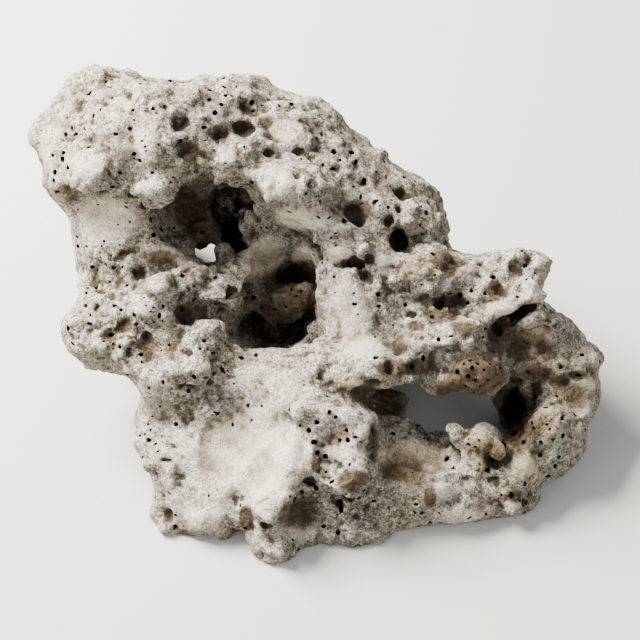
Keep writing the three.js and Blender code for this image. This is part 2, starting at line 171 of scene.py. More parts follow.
# Gouges: x, y, half width, half height, how far it goes in, turn.
GOUGES = (
    (-48, -56, 13, 10, 3, 40), (-52, -70, 10, 12, 3, 10), (6, -68, 13, 20, 8, -8),
    (-30, -72, 8, 12, 3, -20), (-108, 49, 16, 12, 2.5, -20), (-95, 33, 9, 5, 2), (53, -68, 14, 8, 2),
    (129, -38, 8, 9, 2), (108, -9, 8, 7, 2), (-58, 88, 5, 4, 1.5), (-17, 94, 9, 6, 2),
    (-25, 84.5, 3.2, 2, 3), (-11, 84.5, 6, 1.3, 2, -10), (-3, 81, 3, 2, 1.5, -30),
    (12.5, 50, 2.5, 2.5, 2), (37, 40, 4, 3, 1.5), (40, 56, 1.8, 4, 3.5, -25), (33, 49.5, 3, 2, 2),
    (24.5, 30.5, 3, 2.2, 3), (9, 27.3, 5, 1.4, 4, 8), (17, 31.5, 1.2, 3, 3),
    (23.5, 21.5, 5, 2.2, 4, -50), (45, 3, 3.2, 2, 3, -30), (49, 9, 8, 3.5, 2), (68, 8, 5, 4.5, 4),
    (43, 14.5, 4, 1, 2, 10), (38.5, -15.5, 2.5, 2.5, 2), (35, -23, 3, 5, 4),
    (47, -22.5, 4, 1.8, 3.5, 10), (54.5, -22.5, 2.5, 2.2, 3), (88, -4, 2.2, 4.5, 4, 25),
    (101, 6, 7, 2, 5.5, 40), (91, 15, 5, 3, 2.5, -30), (112, 33, 2.4, 3, 3), (110, -14, 5, 4, 1.5),
    (120, -23.5, 2.8, 2, 2), (129, -28, 5, 1.8, 3, -15), (128, -38, 7, 7, 2), (121, -31, 4, 1.6, 2),
    (87, -69, 4.5, 6, 5), (92, -62, 3, 3, 3), (76, -68, 4, 2.5, 2), (87.5, -81, 1.8, 3, 3, 30),
    (97.5, -57, 2.4, 2.2, 2), (27, -57, 1.4, 8, 5, 8), (27.5, -70, 1.6, 4, 3, 35), (10, -67, 8, 4.5, 3),
    (-1, -66.5, 3, 2.6, 3), (-5, -81.5, 2.2, 4, 3.5, 15), (10, -92.5, 3, 4, 3.5), (-76, -98, 3, 3.5, 3),
    (-66, -108, 5, 2.5, 3), (-77, -70, 4, 1.6, 3), (-75, -62, 5, 2, 3, -25), (97, -43, 7, 11, 17),
    (-45, 43, 6, 7, 10), (-61, -34, 6, 3, 2), (-54.8, -31.5, 2, 3, 3, 15), (-69.5, -34, 2.4, 2, 2),
    (-98, -2, 5, 2, 3, 35), (-105, -6.5, 4, 3, 3), (-92, -15, 6, 5, 2), (-87, -9.5, 2.2, 3.4, 4),
    (-110.5, 7, 3.4, 2.2, 4, 50), (-67, 3, 6.5, 5.5, 5), (-68, -16, 5, 2, 3, -20),
    (-77, 27.5, 7, 3, 3.5), (-91, 24, 4, 2.6, 3), (-128, 64, 9, 4, 2), (-108, 63.5, 3.4, 1.8, 2, -20),
    (-94, 62, 4, 3, 3), (-87.5, 56, 2.6, 3.5, 3.5), (-116, 91, 4.5, 4, 1.5), (-127, 91, 6, 3, 1.5),
    (-94, 89.5, 2.4, 3.6, 2), (-77.5, 107, 2.6, 3, 3.5), (-98, 106, 7, 3, 1),
    (22.5, 68.5, 3.2, 2, 2.5, 10), (18.5, 77.5, 1.8, 3, 2), (-11, 73, 2, 3.5, 2),
    (61.5, 51.5, 2.4, 2, 2), (80, 28, 3, 1.2, 2), (-47, 55.5, 3.5, 2, 3, 15), (-44, 14, 3, 2.4, 3.5),
    (-40, 22, 3, 1.2, 3, -20), (-38.5, 16.5, 2.2, 1, 2),
)

# Cracks: how wide, how deep, then x, y from end to end.
CRACKS = (
    (1.1, 4, 6, 27, 11, 28, 16.5, 29.5, 17, 34, 20, 38),
    (1.0, 3, 36, 75, 41, 71, 42, 66, 42.5, 62, 40.5, 58), (0.9, 3, -15, 85, -9, 85, -3, 80.5),
    (0.9, 3, -36, 57, -37.5, 53, -35.5, 45), (0.8, 3, -32, 66, -30, 62, -28, 58),
    (0.8, 2.5, -92, 66, -89, 61, -87, 58), (1.0, 4, 94, 2, 99, 4, 103, 7, 106, 11),
    (0.9, 3, 79, -71, 84, -77, 88, -82, 90, -88), (0.8, 3, 91, -2, 96, -2, 101, -6),
    (0.7, 2.5, -85, 14, -80, 11, -74, 10), (0.7, 2.5, -74, 20, -74, 14, -71, 9),
    (0.8, 2.5, -51, -14, -52, -18, -51, -25), (0.8, 2, -33, -93, -27, -89, -20, -87),
    (0.8, 2, -30, -103.5, -24, -103.5, -17, -101), (0.7, 2, 8, -99, 16, -99, 22, -97),
    (0.7, 2, 12, -78, 19, -79, 27, -79), (0.7, 2, -99, 103, -97, 100, -95, 97),
    (0.7, 2, -104, 106, -98, 108, -92, 106), (0.6, 2, 31, 78, 31, 75, 33, 71),
    (0.7, 2, -55, 79, -54, 74, -51, 71), (0.7, 2, 41, 15, 45, 15, 49, 16),
    (0.7, 2, 26, 10, 30, 8, 33, 10), (0.7, 2, 60, 9, 66, 9, 71, 14),
    (0.7, 2, 96, -20, 92, -18, 89, -14), (0.6, 2, 95, -65, 101, -64.5, 107, -68),
    (0.6, 2, 98, -90, 103, -92, 106, -91), (0.6, 2, -70, -78, -66, -78, -64, -81),
    (0.6, 2, -70, -56, -67, -52, -66, -49), (0.7, 2, -42, 92, -41, 96, -36, 97),
    (0.7, 2, 52, 58, 53, 54, 56, 51),
)

# Bore holes: x, y, half width, half height, depth or 0, turn.
BORES = (
    (-115, 113.5, 1.8, 1.2), (-114, 118.5, 0.7), (-107, 119, 0.8), (-104, 120, 0.8), (-105, 116, 0.7),
    (-104, 111, 0.9, 0.6), (-113, 102.5, 1), (-93.5, 105, 1.1, 0.9), (-75, 119.5, 1.1),
    (-109.5, 105.5, 1.1, 0.6, 0, 40), (-102, 93, 1.3, 0.9, 0, 15), (-95, 95.5, 1.2), (-93, 100, 0.8),
    (-89, 89.5, 0.9), (-87.5, 86.7, 1, 0.8), (-87, 84.5, 0.7), (-93, 83.3, 1.2), (-93, 80.7, 0.7),
    (-90, 79.8, 1.1), (-87.5, 92, 0.6), (-81, 87.7, 0.7), (-90, 118, 0.9), (-133.5, 82.3, 1.2),
    (-128, 83.7, 1.2), (-128.5, 80.5, 1.7), (-126, 76.2, 1.5, 1.2), (-132.5, 74, 1.5),
    (-115, 86.5, 2, 1, 0, 15), (-127, 93, 1.1), (-122, 93, 1.6, 0.9, 0, 15), (-124, 96, 0.7, 1.2),
    (-117.5, 95.5, 1.4, 0.6, 0, -50), (-100, 73.7, 1.2, 0.9), (-84, 73.7, 1.2, 0.9), (-82, 75.5, 0.6),
    (-73.5, 71.5, 1, 0.6), (-74.7, 69, 0.8), (-139, 94.7, 0.6), (-104, 66.5, 1.2, 0.9),
    (-111, 57.8, 0.7), (-97, 58.5, 0.9, 0.6), (-131.5, 64.2, 2.2, 0.8, 0, 15), (-121, 55.3, 0.6),
    (-129, 51.3, 0.7), (-95, 49.2, 0.9, 0.6), (-101, 47.7, 0.8, 0.5), (-121.5, 41.5, 1.3, 0.7, 0, -30),
    (-121, 37, 1.5, 1.2), (-116.5, 37, 0.7), (-109.3, 37, 0.7), (-108, 39.5, 0.9), (-107, 28, 0.9),
    (-114, 26.5, 1.4, 1.1), (-98.7, 26.5, 0.9), (-100, 37.7, 0.6), (-104, 32.3, 0.6),
    (-84.5, 50.5, 1.5, 1.3), (-79.7, 45.3, 1.5, 1.2), (-83.3, 42.5, 1.4), (-79, 40, 1.5, 0.8),
    (-73, 46, 1), (-59, 44, 1.1), (-58, 96.3, 1.8, 1), (-70, 89.8, 1.2), (-66.5, 90.8, 0.5),
    (-55.5, 110, 1.2), (-52.5, 103.5, 1.6), (-55, 115, 1.2, 0.8), (-57, 90, 1, 0.5), (-48, 121, 1),
    (-48, 116.5, 1.5, 0.8, 0, -30), (-42, 116.5, 0.7), (-47.3, 112.3, 1.2, 0.9), (-49.3, 107.8, 1.2),
    (-34, 109, 1.5), (-33.5, 104.5, 1), (-38.5, 103, 0.6), (-51, 88.5, 0.6, 1.4), (-9.5, 80.5, 0.9),
    (-38, 86.5, 0.7, 1), (-47.3, 78.5, 1, 0.7), (7, 84, 1.4, 1.7), (15.7, 83.7, 1.9, 1.3),
    (10.3, 93.5, 1), (11.5, 90.7, 0.8), (0.8, 93, 0.7, 1.5), (-2, 90.7, 0.7), (0, 86, 0.5),
    (-26, 110, 0.7, 1), (-20.3, 107, 0.9), (-14.5, 108, 1.2), (-8.5, 107, 0.6), (-25.3, 112.5, 0.6),
    (-29.3, 107.3, 0.6), (-1, 102.5, 1, 0.6), (2, 100, 0.6), (22, 83, 1, 0.5), (18, 79, 1.2, 1.5),
    (10.3, 80, 0.9), (1.5, 77.5, 0.9, 1.2), (6, 75.7, 1.4, 1), (12, 76, 1, 0.5), (28, 74, 0.9),
    (33, 71.5, 0.7, 1.5), (32.3, 78.5, 0.6, 1.5), (42, 71.5, 1.1), (47.5, 69.5, 0.9), (22, 69.8, 1.6),
    (18.7, 68.8, 0.7), (16.5, 66.5, 0.8), (36.3, 64.7, 0.7), (35, 66.7, 0.7), (20.3, 61.5, 0.9, 1.5),
    (-20.5, 68.5, 0.6), (-5.5, 68, 0.8), (-7, 63.3, 0.9), (0, 59.8, 0.6), (3.5, 69, 1, 0.5, 0, -45),
    (34, 56.2, 1.1), (41.5, 39.7, 1.5, 1.1), (12, 49.5, 1.6, 1.3), (4.5, 51.2, 1.4, 0.6, 0, 30),
    (-1, 51.5, 1.7, 0.6, 0, -45), (-15, 54, 1.7, 0.6), (-29.5, 46.3, 0.7), (-26.8, 46.2, 0.8),
    (5.7, 41, 1, 0.7), (7.7, 43.5, 1, 0.5, 0, 40), (8, 37.2, 0.7), (50, 47.2, 0.9), (51, 43, 0.6, 1.1),
    (53, 54, 1.1), (50.7, 56.5, 0.7), (56.5, 33, 1.3), (57.5, 22.5, 0.8), (1.5, 28.5, 0.9, 1.1),
    (7.2, 21.5, 1), (-52.3, 21.3, 1, 1.2, 0, -30), (-69, 22, 1.1), (-63.3, 17, 0.7), (-65.3, 14.7, 0.6),
    (-63.5, 10, 1.3, 0.7), (-58.5, 10.8, 0.6), (-52.5, 8, 0.7), (-69, 5, 1.6, 1.1),
    (-50, 1.5, 1.2, 0.9), (-29, 6, 1.4, 0.9, 0, 20), (-22.3, 5.3, 1.8, 0.7), (-17, 6.5, 0.9),
    (-16.5, 17.5, 0.9), (-9.5, 14.5, 1), (-11.8, 12, 0.9), (-88, 11.2, 1, 0.5), (-84.7, 21.8, 0.6),
    (-87, 7.2, 0.9, 0.6), (-85, 4.3, 0.7), (-83.5, 6.3, 0.8), (-80.3, 2.2, 1.1, 1.5), (-78.5, 7, 1),
    (-93, 2.7, 1.1), (-92, -2.2, 1.1), (-89.5, -17.3, 1.3), (-89.2, -21, 0.9), (-79.3, -15.2, 0.6),
    (-53.5, -16.3, 1.3, 0.8), (-47.8, -11.7, 0.5), (-32, -17.7, 1.1), (-39.5, -19, 1.7, 1, 0, -15),
    (-58, -10.5, 1.1), (-116, 16, 0.9), (-117, 13.5, 1), (-112, 16, 1.3), (-105, 19, 0.8),
    (-96.5, 17.2, 0.9), (-117, 7, 1.2), (-123, 2, 0.7, 1), (-115, 2, 0.6, 2),
    (-115, -2, 1.5, 0.9, 0, -20), (-103, 7, 1.1), (-99.5, 5, 1.1), (-104.5, -7.5, 1.9, 1.3),
    (-103.3, -12, 1), (-108, -10.8, 0.8), (-103.5, -14.5, 0.7), (-100, -13.5, 1.1),
    (-95.5, -14.3, 1.1, 0.7), (-123.5, -12, 1.6, 0.7, 0, -35), (-126, -4.5, 1.3), (-120.3, -8.5, 0.7),
    (-78.5, -31, 1, 1.2), (-85.5, -34, 1), (-63, -28, 1.1, 1.6), (-57.3, -28.7, 1.3, 0.8),
    (-53.3, -27, 0.8, 1.1), (-48.7, -25, 2.6, 1, 0, -50), (-46.5, -25.3, 0.7), (-66, -35.5, 1.1),
    (-68.3, -38, 0.7), (-80, -43.2, 0.9), (-72, -52.2, 1.2), (-86, -52.3, 0.8), (-84.7, -55, 0.8, 1),
    (-91.5, -53.5, 0.7), (-87.5, -57, 0.8), (-90, -58, 0.9), (-85.7, -60, 1.3), (-84, -48.3, 1, 0.5),
    (-43.7, -52.3, 0.8, 1.2), (-52, -46.5, 1.5, 0.7, 0, -25), (-58.5, -57.3, 0.5), (-82, -62, 1),
    (-81, -65.8, 0.8), (-36, -42.7, 1.1), (-29, -43, 0.9), (-34, -50, 1.1, 0.6, 0, 35),
    (-15, -44.5, 0.7), (-1.5, -51.2, 1.6, 1.3), (-5.3, -55, 1.5), (-10, -52.8, 1), (-3.2, -61.3, 1.4),
    (4.7, -46, 1.2), (8, -48.5, 1.1), (13.5, -55, 1.3), (14, -60, 1.5), (16.5, -56.8, 0.7),
    (10, -60, 1.1), (-1.3, -66.5, 1.5), (2.7, -68, 1.6, 1.3), (15, -72.5, 0.9), (3, -76, 0.9),
    (-1.7, -83.8, 1.5), (5.8, -81, 1.5, 1, 0, 25), (-9, -86, 1.2), (-13, -90, 1.3), (-15, -88.3, 0.8),
    (10, -90.7, 2, 1.6), (10.7, -95, 1.4, 1.8), (8.7, -97.3, 0.7), (22, -85, 0.9, 1.3),
    (19.5, -88.8, 1.1), (27, -90.5, 1.4, 0.9), (26.5, -63.5, 1, 0.7), (1.7, -103.2, 1.2),
    (9, -106.3, 1.3), (3.5, -113, 1.5), (-13.7, -110, 0.9), (-11, -114.5, 1), (23.3, -112, 0.9),
    (-37.3, -103.7, 1.1), (-55.7, -88, 0.6, 1.1), (-72.3, -97.5, 0.8), (-72.5, -103, 1.2),
    (7.5, 13.7, 1, 0.6), (17, 13.5, 0.8), (17.3, 8, 1.6, 1), (19, 2.7, 0.7), (29.5, 7, 1.5, 0.8),
    (29, 13, 1.3), (8, -11.3, 1.1, 0.7), (27.5, -8.5, 0.7), (36.5, -2.5, 0.7), (27.7, -19, 1.2),
    (42.7, 7.5, 1.2), (51, 17.7, 0.8), (56, 1.5, 1.1), (59.3, -10, 1.2, 1.4), (65.7, -8.2, 1.1, 0.6),
    (70, 12.5, 1.6), (75.7, 14.5, 1.2), (82.3, 13.3, 1.1), (74, 8.5, 1.1), (98.7, 11.5, 1.3, 0.8),
    (102.5, 27, 1.4, 1.1), (113.5, 24.5, 1), (103.3, 20.2, 0.8), (95, 36.5, 0.9), (101, 34.5, 0.9),
    (86.5, 21.5, 1.6, 1.1), (82.7, -4.5, 1.2, 0.8), (90, -7, 1.4), (81.5, -8.7, 1), (46, -23.4, 1.5),
    (51.5, -19, 1.2, 2), (104, -25.7, 1), (69, -26, 1.5), (76, -24, 1.1), (79, -22, 0.9),
    (72, -22, 0.9), (74, -28, 1.3), (82, -25, 1), (85, -22, 0.9), (78, -30, 1), (73, -33, 1),
    (80, -33, 0.9), (84, -30, 0.9), (75, -20.5, 1), (90, -24, 0.9), (87, -33, 0.8), (77, -36, 0.9),
    (113, -43.5, 1.4), (103.5, -47.5, 1.2), (99.5, -48, 0.9), (103.5, -50.7, 0.9), (106.2, -51.5, 0.8),
    (107, -54, 1), (113.5, -52.3, 0.9), (115, -54.5, 0.9), (121, -49.2, 1.3), (127.3, -47.5, 1.2),
    (118.5, -38.3, 0.8), (132.5, -54.7, 0.8), (121.3, -57.8, 1.3), (116.5, -59.7, 1.3, 0.9),
    (97.5, -57, 1.8), (102, -61, 1.2), (91.7, -62.3, 1.6), (110.5, -61, 1.1), (110.3, -67.7, 1.2),
    (119.5, -68.5, 1.1), (117.5, -73, 1.1, 1.4), (114, -78, 1.8, 1), (86, -69.5, 2, 1.7),
    (84, -75, 1.6, 1.2), (102.3, -82, 1, 1.4), (107.3, -81.5, 0.8), (90.7, -87.5, 0.8),
    (96, -87.5, 1.3, 1.6), (74.7, -62.3, 1.1, 0.8), (77.7, -63.3, 0.8), (79.5, -60, 0.8),
    (74.3, -59.5, 0.7), (36.5, -56.8, 1.4, 1, 0, -20), (46.3, -76.3, 0.6), (67, -74.3, 1),
    (48.2, -92.2, 1.3, 0.8), (51, -96.3, 1.3, 0.9, 0, 20), (55, -101, 0.8), (63.3, -105.2, 0.9),
    (75, -98.7, 1.5, 0.7, 0, 35), (83, -97, 1), (85, -99.3, 0.6, 1), (34.5, -93.5, 0.7), (29, -53, 1),
    (120.5, -23.5, 1.2), (129, -27.5, 2, 0.9, 0, -15), (131, -17.5, 1.5, 1),
)

# Stains and calm places: kind, strength, then each one's x, y, half width, half height, 0, turn.
STAINS = (
    (Stain.CALM, 1.0, (
        (-42, -64, 26, 18, 0, 40), (-28, -80, 14, 10), (-22, -64, 18, 14), (-108, 50, 17, 13),
        (-29, 31, 16, 10, 0, 40), (-66, 54, 15, 11), (-9, 31, 6, 6), (50, -70, 24, 10),
        (103, -73, 8, 6), (130, -38, 8, 10), (108, -10, 9, 8), (91, 5, 9, 4), (20, -13, 10, 7),
        (-20, 68, 8, 7), (-18, 95, 8, 6), (-10, 50, 18, 6), (-81, 17, 6, 4), (10, 33, 7, 4),
        (16, -32, 7, 3), (9, -67, 8, 4),
    )),
    (Stain.CALM, 0.6, (
        (14, 5, 14, 20), (-60, -98, 16, 10), (-118, 78, 12, 8), (60, -86, 12, 6), (70, -98, 18, 6),
        (-80, 32, 14, 6), (-90, 90, 10, 14), (-10, -106, 14, 6), (100, 4, 8, 10),
    )),
    # Brown: real brown stains, and painted shade in the caves, under the head and the belt and in shaded
    # hollows.
    (Stain.BROWN, 1.0, (
        (62, 29, 9, 6, 0, -30), (36, -24, 10, 5), (50, -23, 9, 5), (35, -44, 9, 5), (78, -27, 10, 10),
        (78, -37, 8, 4), (90, -6, 7, 7), (88, 15, 5, 6), (20, 55, 8, 7), (86, -68, 6, 8),
        (-66, 3, 7, 7), (-37, -99, 4, 7), (-65, 84, 6, 6), (73, -4, 7, 4), (48, -3, 5, 3),
        (69, 9, 5, 5), (27, -61, 3, 10), (102, 5, 7, 4, 0, 35), (129, -28, 6, 3), (30, -36, 14, 5),
        (61, -36, 4, 4), (80, -28, 17, 15), (97, -44, 13, 15), (88, -12, 7, 10), (-46, 46, 9, 10),
        (22, -38, 10, 7), (66, -33, 8, 5),
    )),
    # Brown: real brown stains, and painted shade in caves, shaded hollows and undersides.
    (Stain.BROWN, 0.8, (
        (112, -14, 6, 5), (129, -38, 9, 8), (101, -56, 14, 9), (42, -76, 14, 9), (55, -88, 4, 8),
        (-12, -96, 13, 12), (16, -80, 9, 8), (-80, 31, 13, 5), (-91, 23, 5, 4), (-86, -14, 6, 8),
        (-12, 9, 12, 10), (-65, 55, 18, 13), (-20, 5, 16, 10), (-60, 42, 16, 10), (97, -88, 5, 5),
        (40, -14, 5, 4), (60, 3, 10, 5), (120, -30, 8, 4), (-105, -8, 5, 4), (-97, -3, 5, 4),
        (-76, -98, 4, 5), (-66, -107, 6, 3), (98, -12, 10, 10), (-128, 64, 10, 5), (-37, 105, 5, 4),
        (-27, 99, 5, 4), (-49, 94, 5, 4), (-20, 18, 12, 10), (-8, 22, 8, 10), (110, -27, 10, 6),
    )),
    (Stain.OCHRE, 1.0, (
        (44, 25, 8, 6), (54, 24, 6, 5), (68, 26, 7, 5), (14, -31, 6, 4), (-4, -73, 6, 4),
        (13, -57, 4, 4), (-66, 23, 4, 4), (-60, 78, 4, 3), (-77.5, 107, 3, 3), (37, 40, 4, 3),
        (-74, -16, 8, 4), (100, -60, 10, 8), (80, -60, 8, 6), (-69, -34, 3, 3), (23, 68, 3, 3),
        (40, -12, 4, 4), (61, -35, 4, 4), (35, -42, 8, 4), (8, -60, 4, 3),
    )),
    (Stain.OCHRE, 0.35, (
        (-40, -60, 24, 14), (-110, 52, 15, 12), (-58, -4, 6, 5), (-96, -25, 5, 3), (40, 66, 20, 10),
        (-85, -42, 5, 6), (136, -24, 6, 6), (-20, -20, 16, 8), (-100, 20, 14, 8), (60, 60, 12, 12),
    )),
    (Stain.OCHRE, 0.7, (
        (45, -70, 24, 10), (103, -74, 12, 10), (110, -20, 14, 10), (114, -50, 12, 10),
        (85, -66, 14, 12), (97, -56, 14, 10), (104, -8, 16, 10), (52, 27, 12, 7), (30, -44, 14, 8),
        (124, -36, 10, 8),
    )),
    # Chalk: pale chalk on the stone, some of it also a painted highlight where the stone faces the light.
    (Stain.CHALK_AND_HIGHLIGHT, 1.0, (
        (-28, -58, 22, 12), (20, -50, 12, 8), (112, 16, 12, 14), (-62, -84, 16, 14), (-44, -92, 16, 9),
        (-72, -62, 8, 12), (-106, 46, 14, 12),
    )),
    # Chalk: pale chalk on the stone, some of it also a painted highlight on lit places such as the slab.
    (Stain.CHALK_AND_HIGHLIGHT, 0.8, (
        (-118, 76, 14, 8), (-103, 108, 12, 7), (-95, 117, 8, 4), (-58, -96, 18, 11), (-22, 68, 9, 8),
        (-79, -50, 5, 12), (-6, -45, 16, 4), (56, -13, 11, 4), (-6, 48, 12, 6), (15, 2, 12, 14),
        (62, -84, 11, 6), (98, -93, 6, 4), (44, 55, 4, 5), (-84, 67, 7, 6), (34, 28, 7, 7),
        (-86, 5, 8, 6), (-60, -36, 14, 5), (-86, -24, 4, 8), (22, -14, 10, 7), (-68, -70, 6, 8),
        (-47, 83, 6, 5), (63, 15, 5, 6), (95, 30, 6, 5), (-25, -96, 5, 5), (-40, -12, 12, 8),
        (-135, 85, 8, 16), (78, 21, 8, 4), (-22, -30, 28, 8), (-32, -64, 32, 28), (10, -64, 14, 20),
    )),
    (Stain.PINK, 1.0, (
        (-60, 112, 8, 5), (-46, 104, 8, 8), (-4, 91, 6, 5), (112, 22, 5, 10), (30, 72, 6, 8),
    )),
    (Stain.PINK, 0.6, (
        (-102, 88, 10, 12), (85, -92, 12, 6), (-20, 44, 10, 5), (126, -40, 8, 8), (0, 54, 10, 5),
    )),
    (Stain.GREEN, 1.0, ((123, -53, 4, 4), (119, -64, 5, 7), (115, -76, 5, 5), (46, -17, 3, 3))),
    (Stain.RED, 1.0, ((42.7, 7.5, 1.6, 1.6), (52.5, 10.8, 2.2, 1.4), (67, -74.3, 1.8, 1.5))),
)

# Layers of relief: name, width, height, the pattern's middle, its kind and its finer layers.
RELIEF_LAYERS = (
    ("swell", 17.0, 4.5, 0.5, "BLENDER_ORIGINAL", 1),
    ("knuckle", 10.0, -3.0, 0.4, "VORONOI_F1", 0),
    ("billow", 4.6, -1.2, 0.4, "VORONOI_F1", 0),
    ("crag", 7.5, 3.2, 0.5, "BLENDER_ORIGINAL", 3),
    ("grit", 2.4, 2.2, 0.5, "IMPROVED_PERLIN", 2),
)


# ------------------------------------------------------------------------------------------
# Places on the stone
# ------------------------------------------------------------------------------------------


@dataclass(frozen=True)
class Face:
    """The stone's broad carved face, tipped up from lying flat.

    Places on it are in millimetres: x runs across the face, y up it and z out of it.

    Attributes:
        tip: degrees that the face is tipped up from lying flat.
        middle: the face's middle in the row frame, in millimetres.
        eye: how far over its middle the point is that places on it are sighted from.
        reach: how far from its middle the stone ends at most.
    """

    tip: float = 40.0
    middle: tuple[float, float, float] = (1.2, -21.3, 77.0)
    eye: float = 1067.0
    reach: float = 300.0

    def turned(self) -> Matrix:
        """The turn from the face's axes to the row frame's."""
        return Matrix.Rotation(math.radians(self.tip), 3, "X")

    def point(self, x: float, y: float, z: float) -> Vector:
        """A place of the face as a point of the row frame, in metres."""
        return (self.turned() @ Vector((x, y, z)) + Vector(self.middle)) * MM

    def sight(self, x: float, y: float) -> tuple[Vector, Vector]:
        """The start and the direction of the line of sight through a place on the face."""
        start = self.point(0, 0, self.eye)
        return start, (self.point(x, y, 0) - start).normalized()

    def axes(self, turn: float) -> tuple[Vector, Vector, Vector]:
        """Across, up and out of the face, turned by degrees to the left, in the row frame."""
        turned = self.turned() @ Matrix.Rotation(math.radians(turn), 3, "Z")
        return tuple(turned.col[i].copy() for i in range(3))


class Skin:
    """The surface of the stone as it is so far, to find places on it."""

    STEP = 2  # how far round a place the surface's direction is felt, in millimetres
    NEAR = 6  # how near such a point has to lie to count, in millimetres

    def __init__(self, piece: bpy.types.Object, face: Face) -> None:
        """Reads the surface.

        Args:
            piece: the stone.
            face: the stone's face.
        """
        self.face = face
        corners = [v.co.copy() for v in piece.data.vertices]
        self.tree = BVHTree.FromPolygons(corners, [tuple(p.vertices) for p in piece.data.polygons])

    def _sighted(self, x: float, y: float) -> tuple[Vector | None, Vector]:
        """Where the sight through a place on the face meets the stone, and its direction there."""
        return self.tree.ray_cast(*self.face.sight(x, y))[:2]

    def seats(self, rows: Iterable[Sequence[float]]) -> Iterator[tuple[Mark, Vector, Vector]]:
        """Finds marks of the face on the stone.

        Args:
            rows: the values of each mark.

        Yields:
            Each mark that meets the stone, where it does and the surface's even direction round it.
        """
        for mark in (Mark(*row) for row in rows):
            hit, out = self._sighted(mark.x, mark.y)
            if hit is None:
                continue
            even = out.copy()
            for dx, dy in ((self.STEP, 0), (-self.STEP, 0), (0, self.STEP), (0, -self.STEP)):
                near, way = self._sighted(mark.x + dx, mark.y + dy)
                if near is not None and (near - hit).length < self.NEAR * MM:
                    even += way
            yield mark, hit, even.normalized()


# ------------------------------------------------------------------------------------------
# Mesh helpers
# ------------------------------------------------------------------------------------------


def select_only(piece: bpy.types.Object) -> None:
    """Makes a piece the only selected object and the active one.

    Args:
        piece: the object.
    """
    bpy.ops.object.select_all(action="DESELECT")
    piece.select_set(True)
    bpy.context.view_layer.objects.active = piece


def finish_with(piece: bpy.types.Object, kind: str, **settings: Any) -> None:
    """Adds a modifier to a piece and applies it.

    Args:
        piece: the object that it shapes.
        kind: the modifier's type.
        **settings: the modifier's properties.
    """
    select_only(piece)
    modifier = piece.modifiers.new(kind.title(), kind)
    for name, value in settings.items():
        setattr(modifier, name, value)
    bpy.ops.object.modifier_apply(modifier=modifier.name)


def joined(first: bpy.types.Object, other: bpy.types.Object) -> None:
    """Joins a piece into another.

    Args:
        first: the piece that stays.
        other: the piece that it takes in.
    """
    select_only(first)
    other.select_set(True)
    bpy.ops.object.join()


def cut_by(piece: bpy.types.Object, cutter: bpy.types.Object) -> None:
    """Cuts a piece by a closed one, which is used up."""
    finish_with(piece, "BOOLEAN", operation="DIFFERENCE", solver="MANIFOLD", object=cutter)
    bpy.data.objects.remove(cutter)


def read_rows(items: Any, name: str) -> np.ndarray:
    """Reads a vector of each item of a mesh.

    Args:
        items: the mesh's vertices or their normals.
        name: the vector's name.

    Returns:
        One row of x, y and z for each item.
    """
    rows = np.empty(len(items) * 3, np.float32)
    items.foreach_get(name, rows)
    return rows.reshape(-1, 3).astype(np.float64)


def corners_of(mesh: bpy.types.Mesh) -> np.ndarray:
    """The corners of a mesh as rows of x, y and z."""
    return read_rows(mesh.vertices, "co")


def triangles_of(mesh: bpy.types.Mesh) -> int:
    """How many triangles a mesh comes to."""
    return sum(len(p.vertices) - 2 for p in mesh.polygons)


def eased(values: np.ndarray, low: float, high: float) -> np.ndarray:
    """How far values are on their way from low to high, eased at both ends.

    Args:
        values: the values.
        low: where the result is 0.
        high: where the result is 1.

    Returns:
        Values from 0 to 1.
    """
    share = np.clip((values - low) / (high - low), 0, 1)
    return share * share * (3 - 2 * share)


def waves_at(corners: np.ndarray, width: float) -> np.ndarray:
    """A slow pattern that makes some parts of the stone rougher than others.

    Args:
        corners: places in metres.
        width: how wide its waves are, in millimetres.

    Returns:
        A value from -3 to 3 at each place.
    """
    x, y, z = corners.T / (width * MM)
    return np.sin(x + 1) + np.sin(y * 1.2 + x * 0.6) + np.sin(z * 0.9)


def pebbles(name: str, detail: int, places: Sequence[Matrix]) -> bpy.types.Object:
    """Copies a round primitive to many places as one object.

    Args:
        name: the object's name.
        detail: the primitive's subdivisions.
        places: the matrix of each copy.

    Returns:
        The object that holds all the copies.
    """
    bpy.ops.object.select_all(action="DESELECT")
    bpy.ops.mesh.primitive_ico_sphere_add(subdivisions=detail, radius=1)
    heap = bpy.context.object
    corners = np.c_[corners_of(heap.data), np.ones(len(heap.data.vertices))]
    faces = np.array([tuple(p.vertices) for p in heap.data.polygons])
    spread = [(corners @ np.array(place).T)[:, :3] for place in places]
    faces = [faces + i * len(corners) for i in range(len(places))]
    heap.name = name
    heap.data = bpy.data.meshes.new(name)
    heap.data.from_pydata(np.concatenate(spread).tolist(), [], np.concatenate(faces).tolist())
    return heap


def seated(middle: Vector, across: Vector, out: Vector, sizes: Sequence[float]) -> Matrix:
    """The place of a pebble whose third side points out of the stone.

    Args:
        middle: its middle, in metres.
        across: the way its first side points, as near as out allows.
        out: the way its third side points.
        sizes: its three radii in millimetres.

    Returns:
        The matrix from a pebble of radius 1.
    """
    side = (across - out * across.dot(out)).normalized()
    turn = Matrix((side, out.cross(side), out)).transposed()
    return Matrix.LocRotScale(middle, turn.to_quaternion(), Vector(sizes) * MM)


# ------------------------------------------------------------------------------------------
# The stone
# ------------------------------------------------------------------------------------------


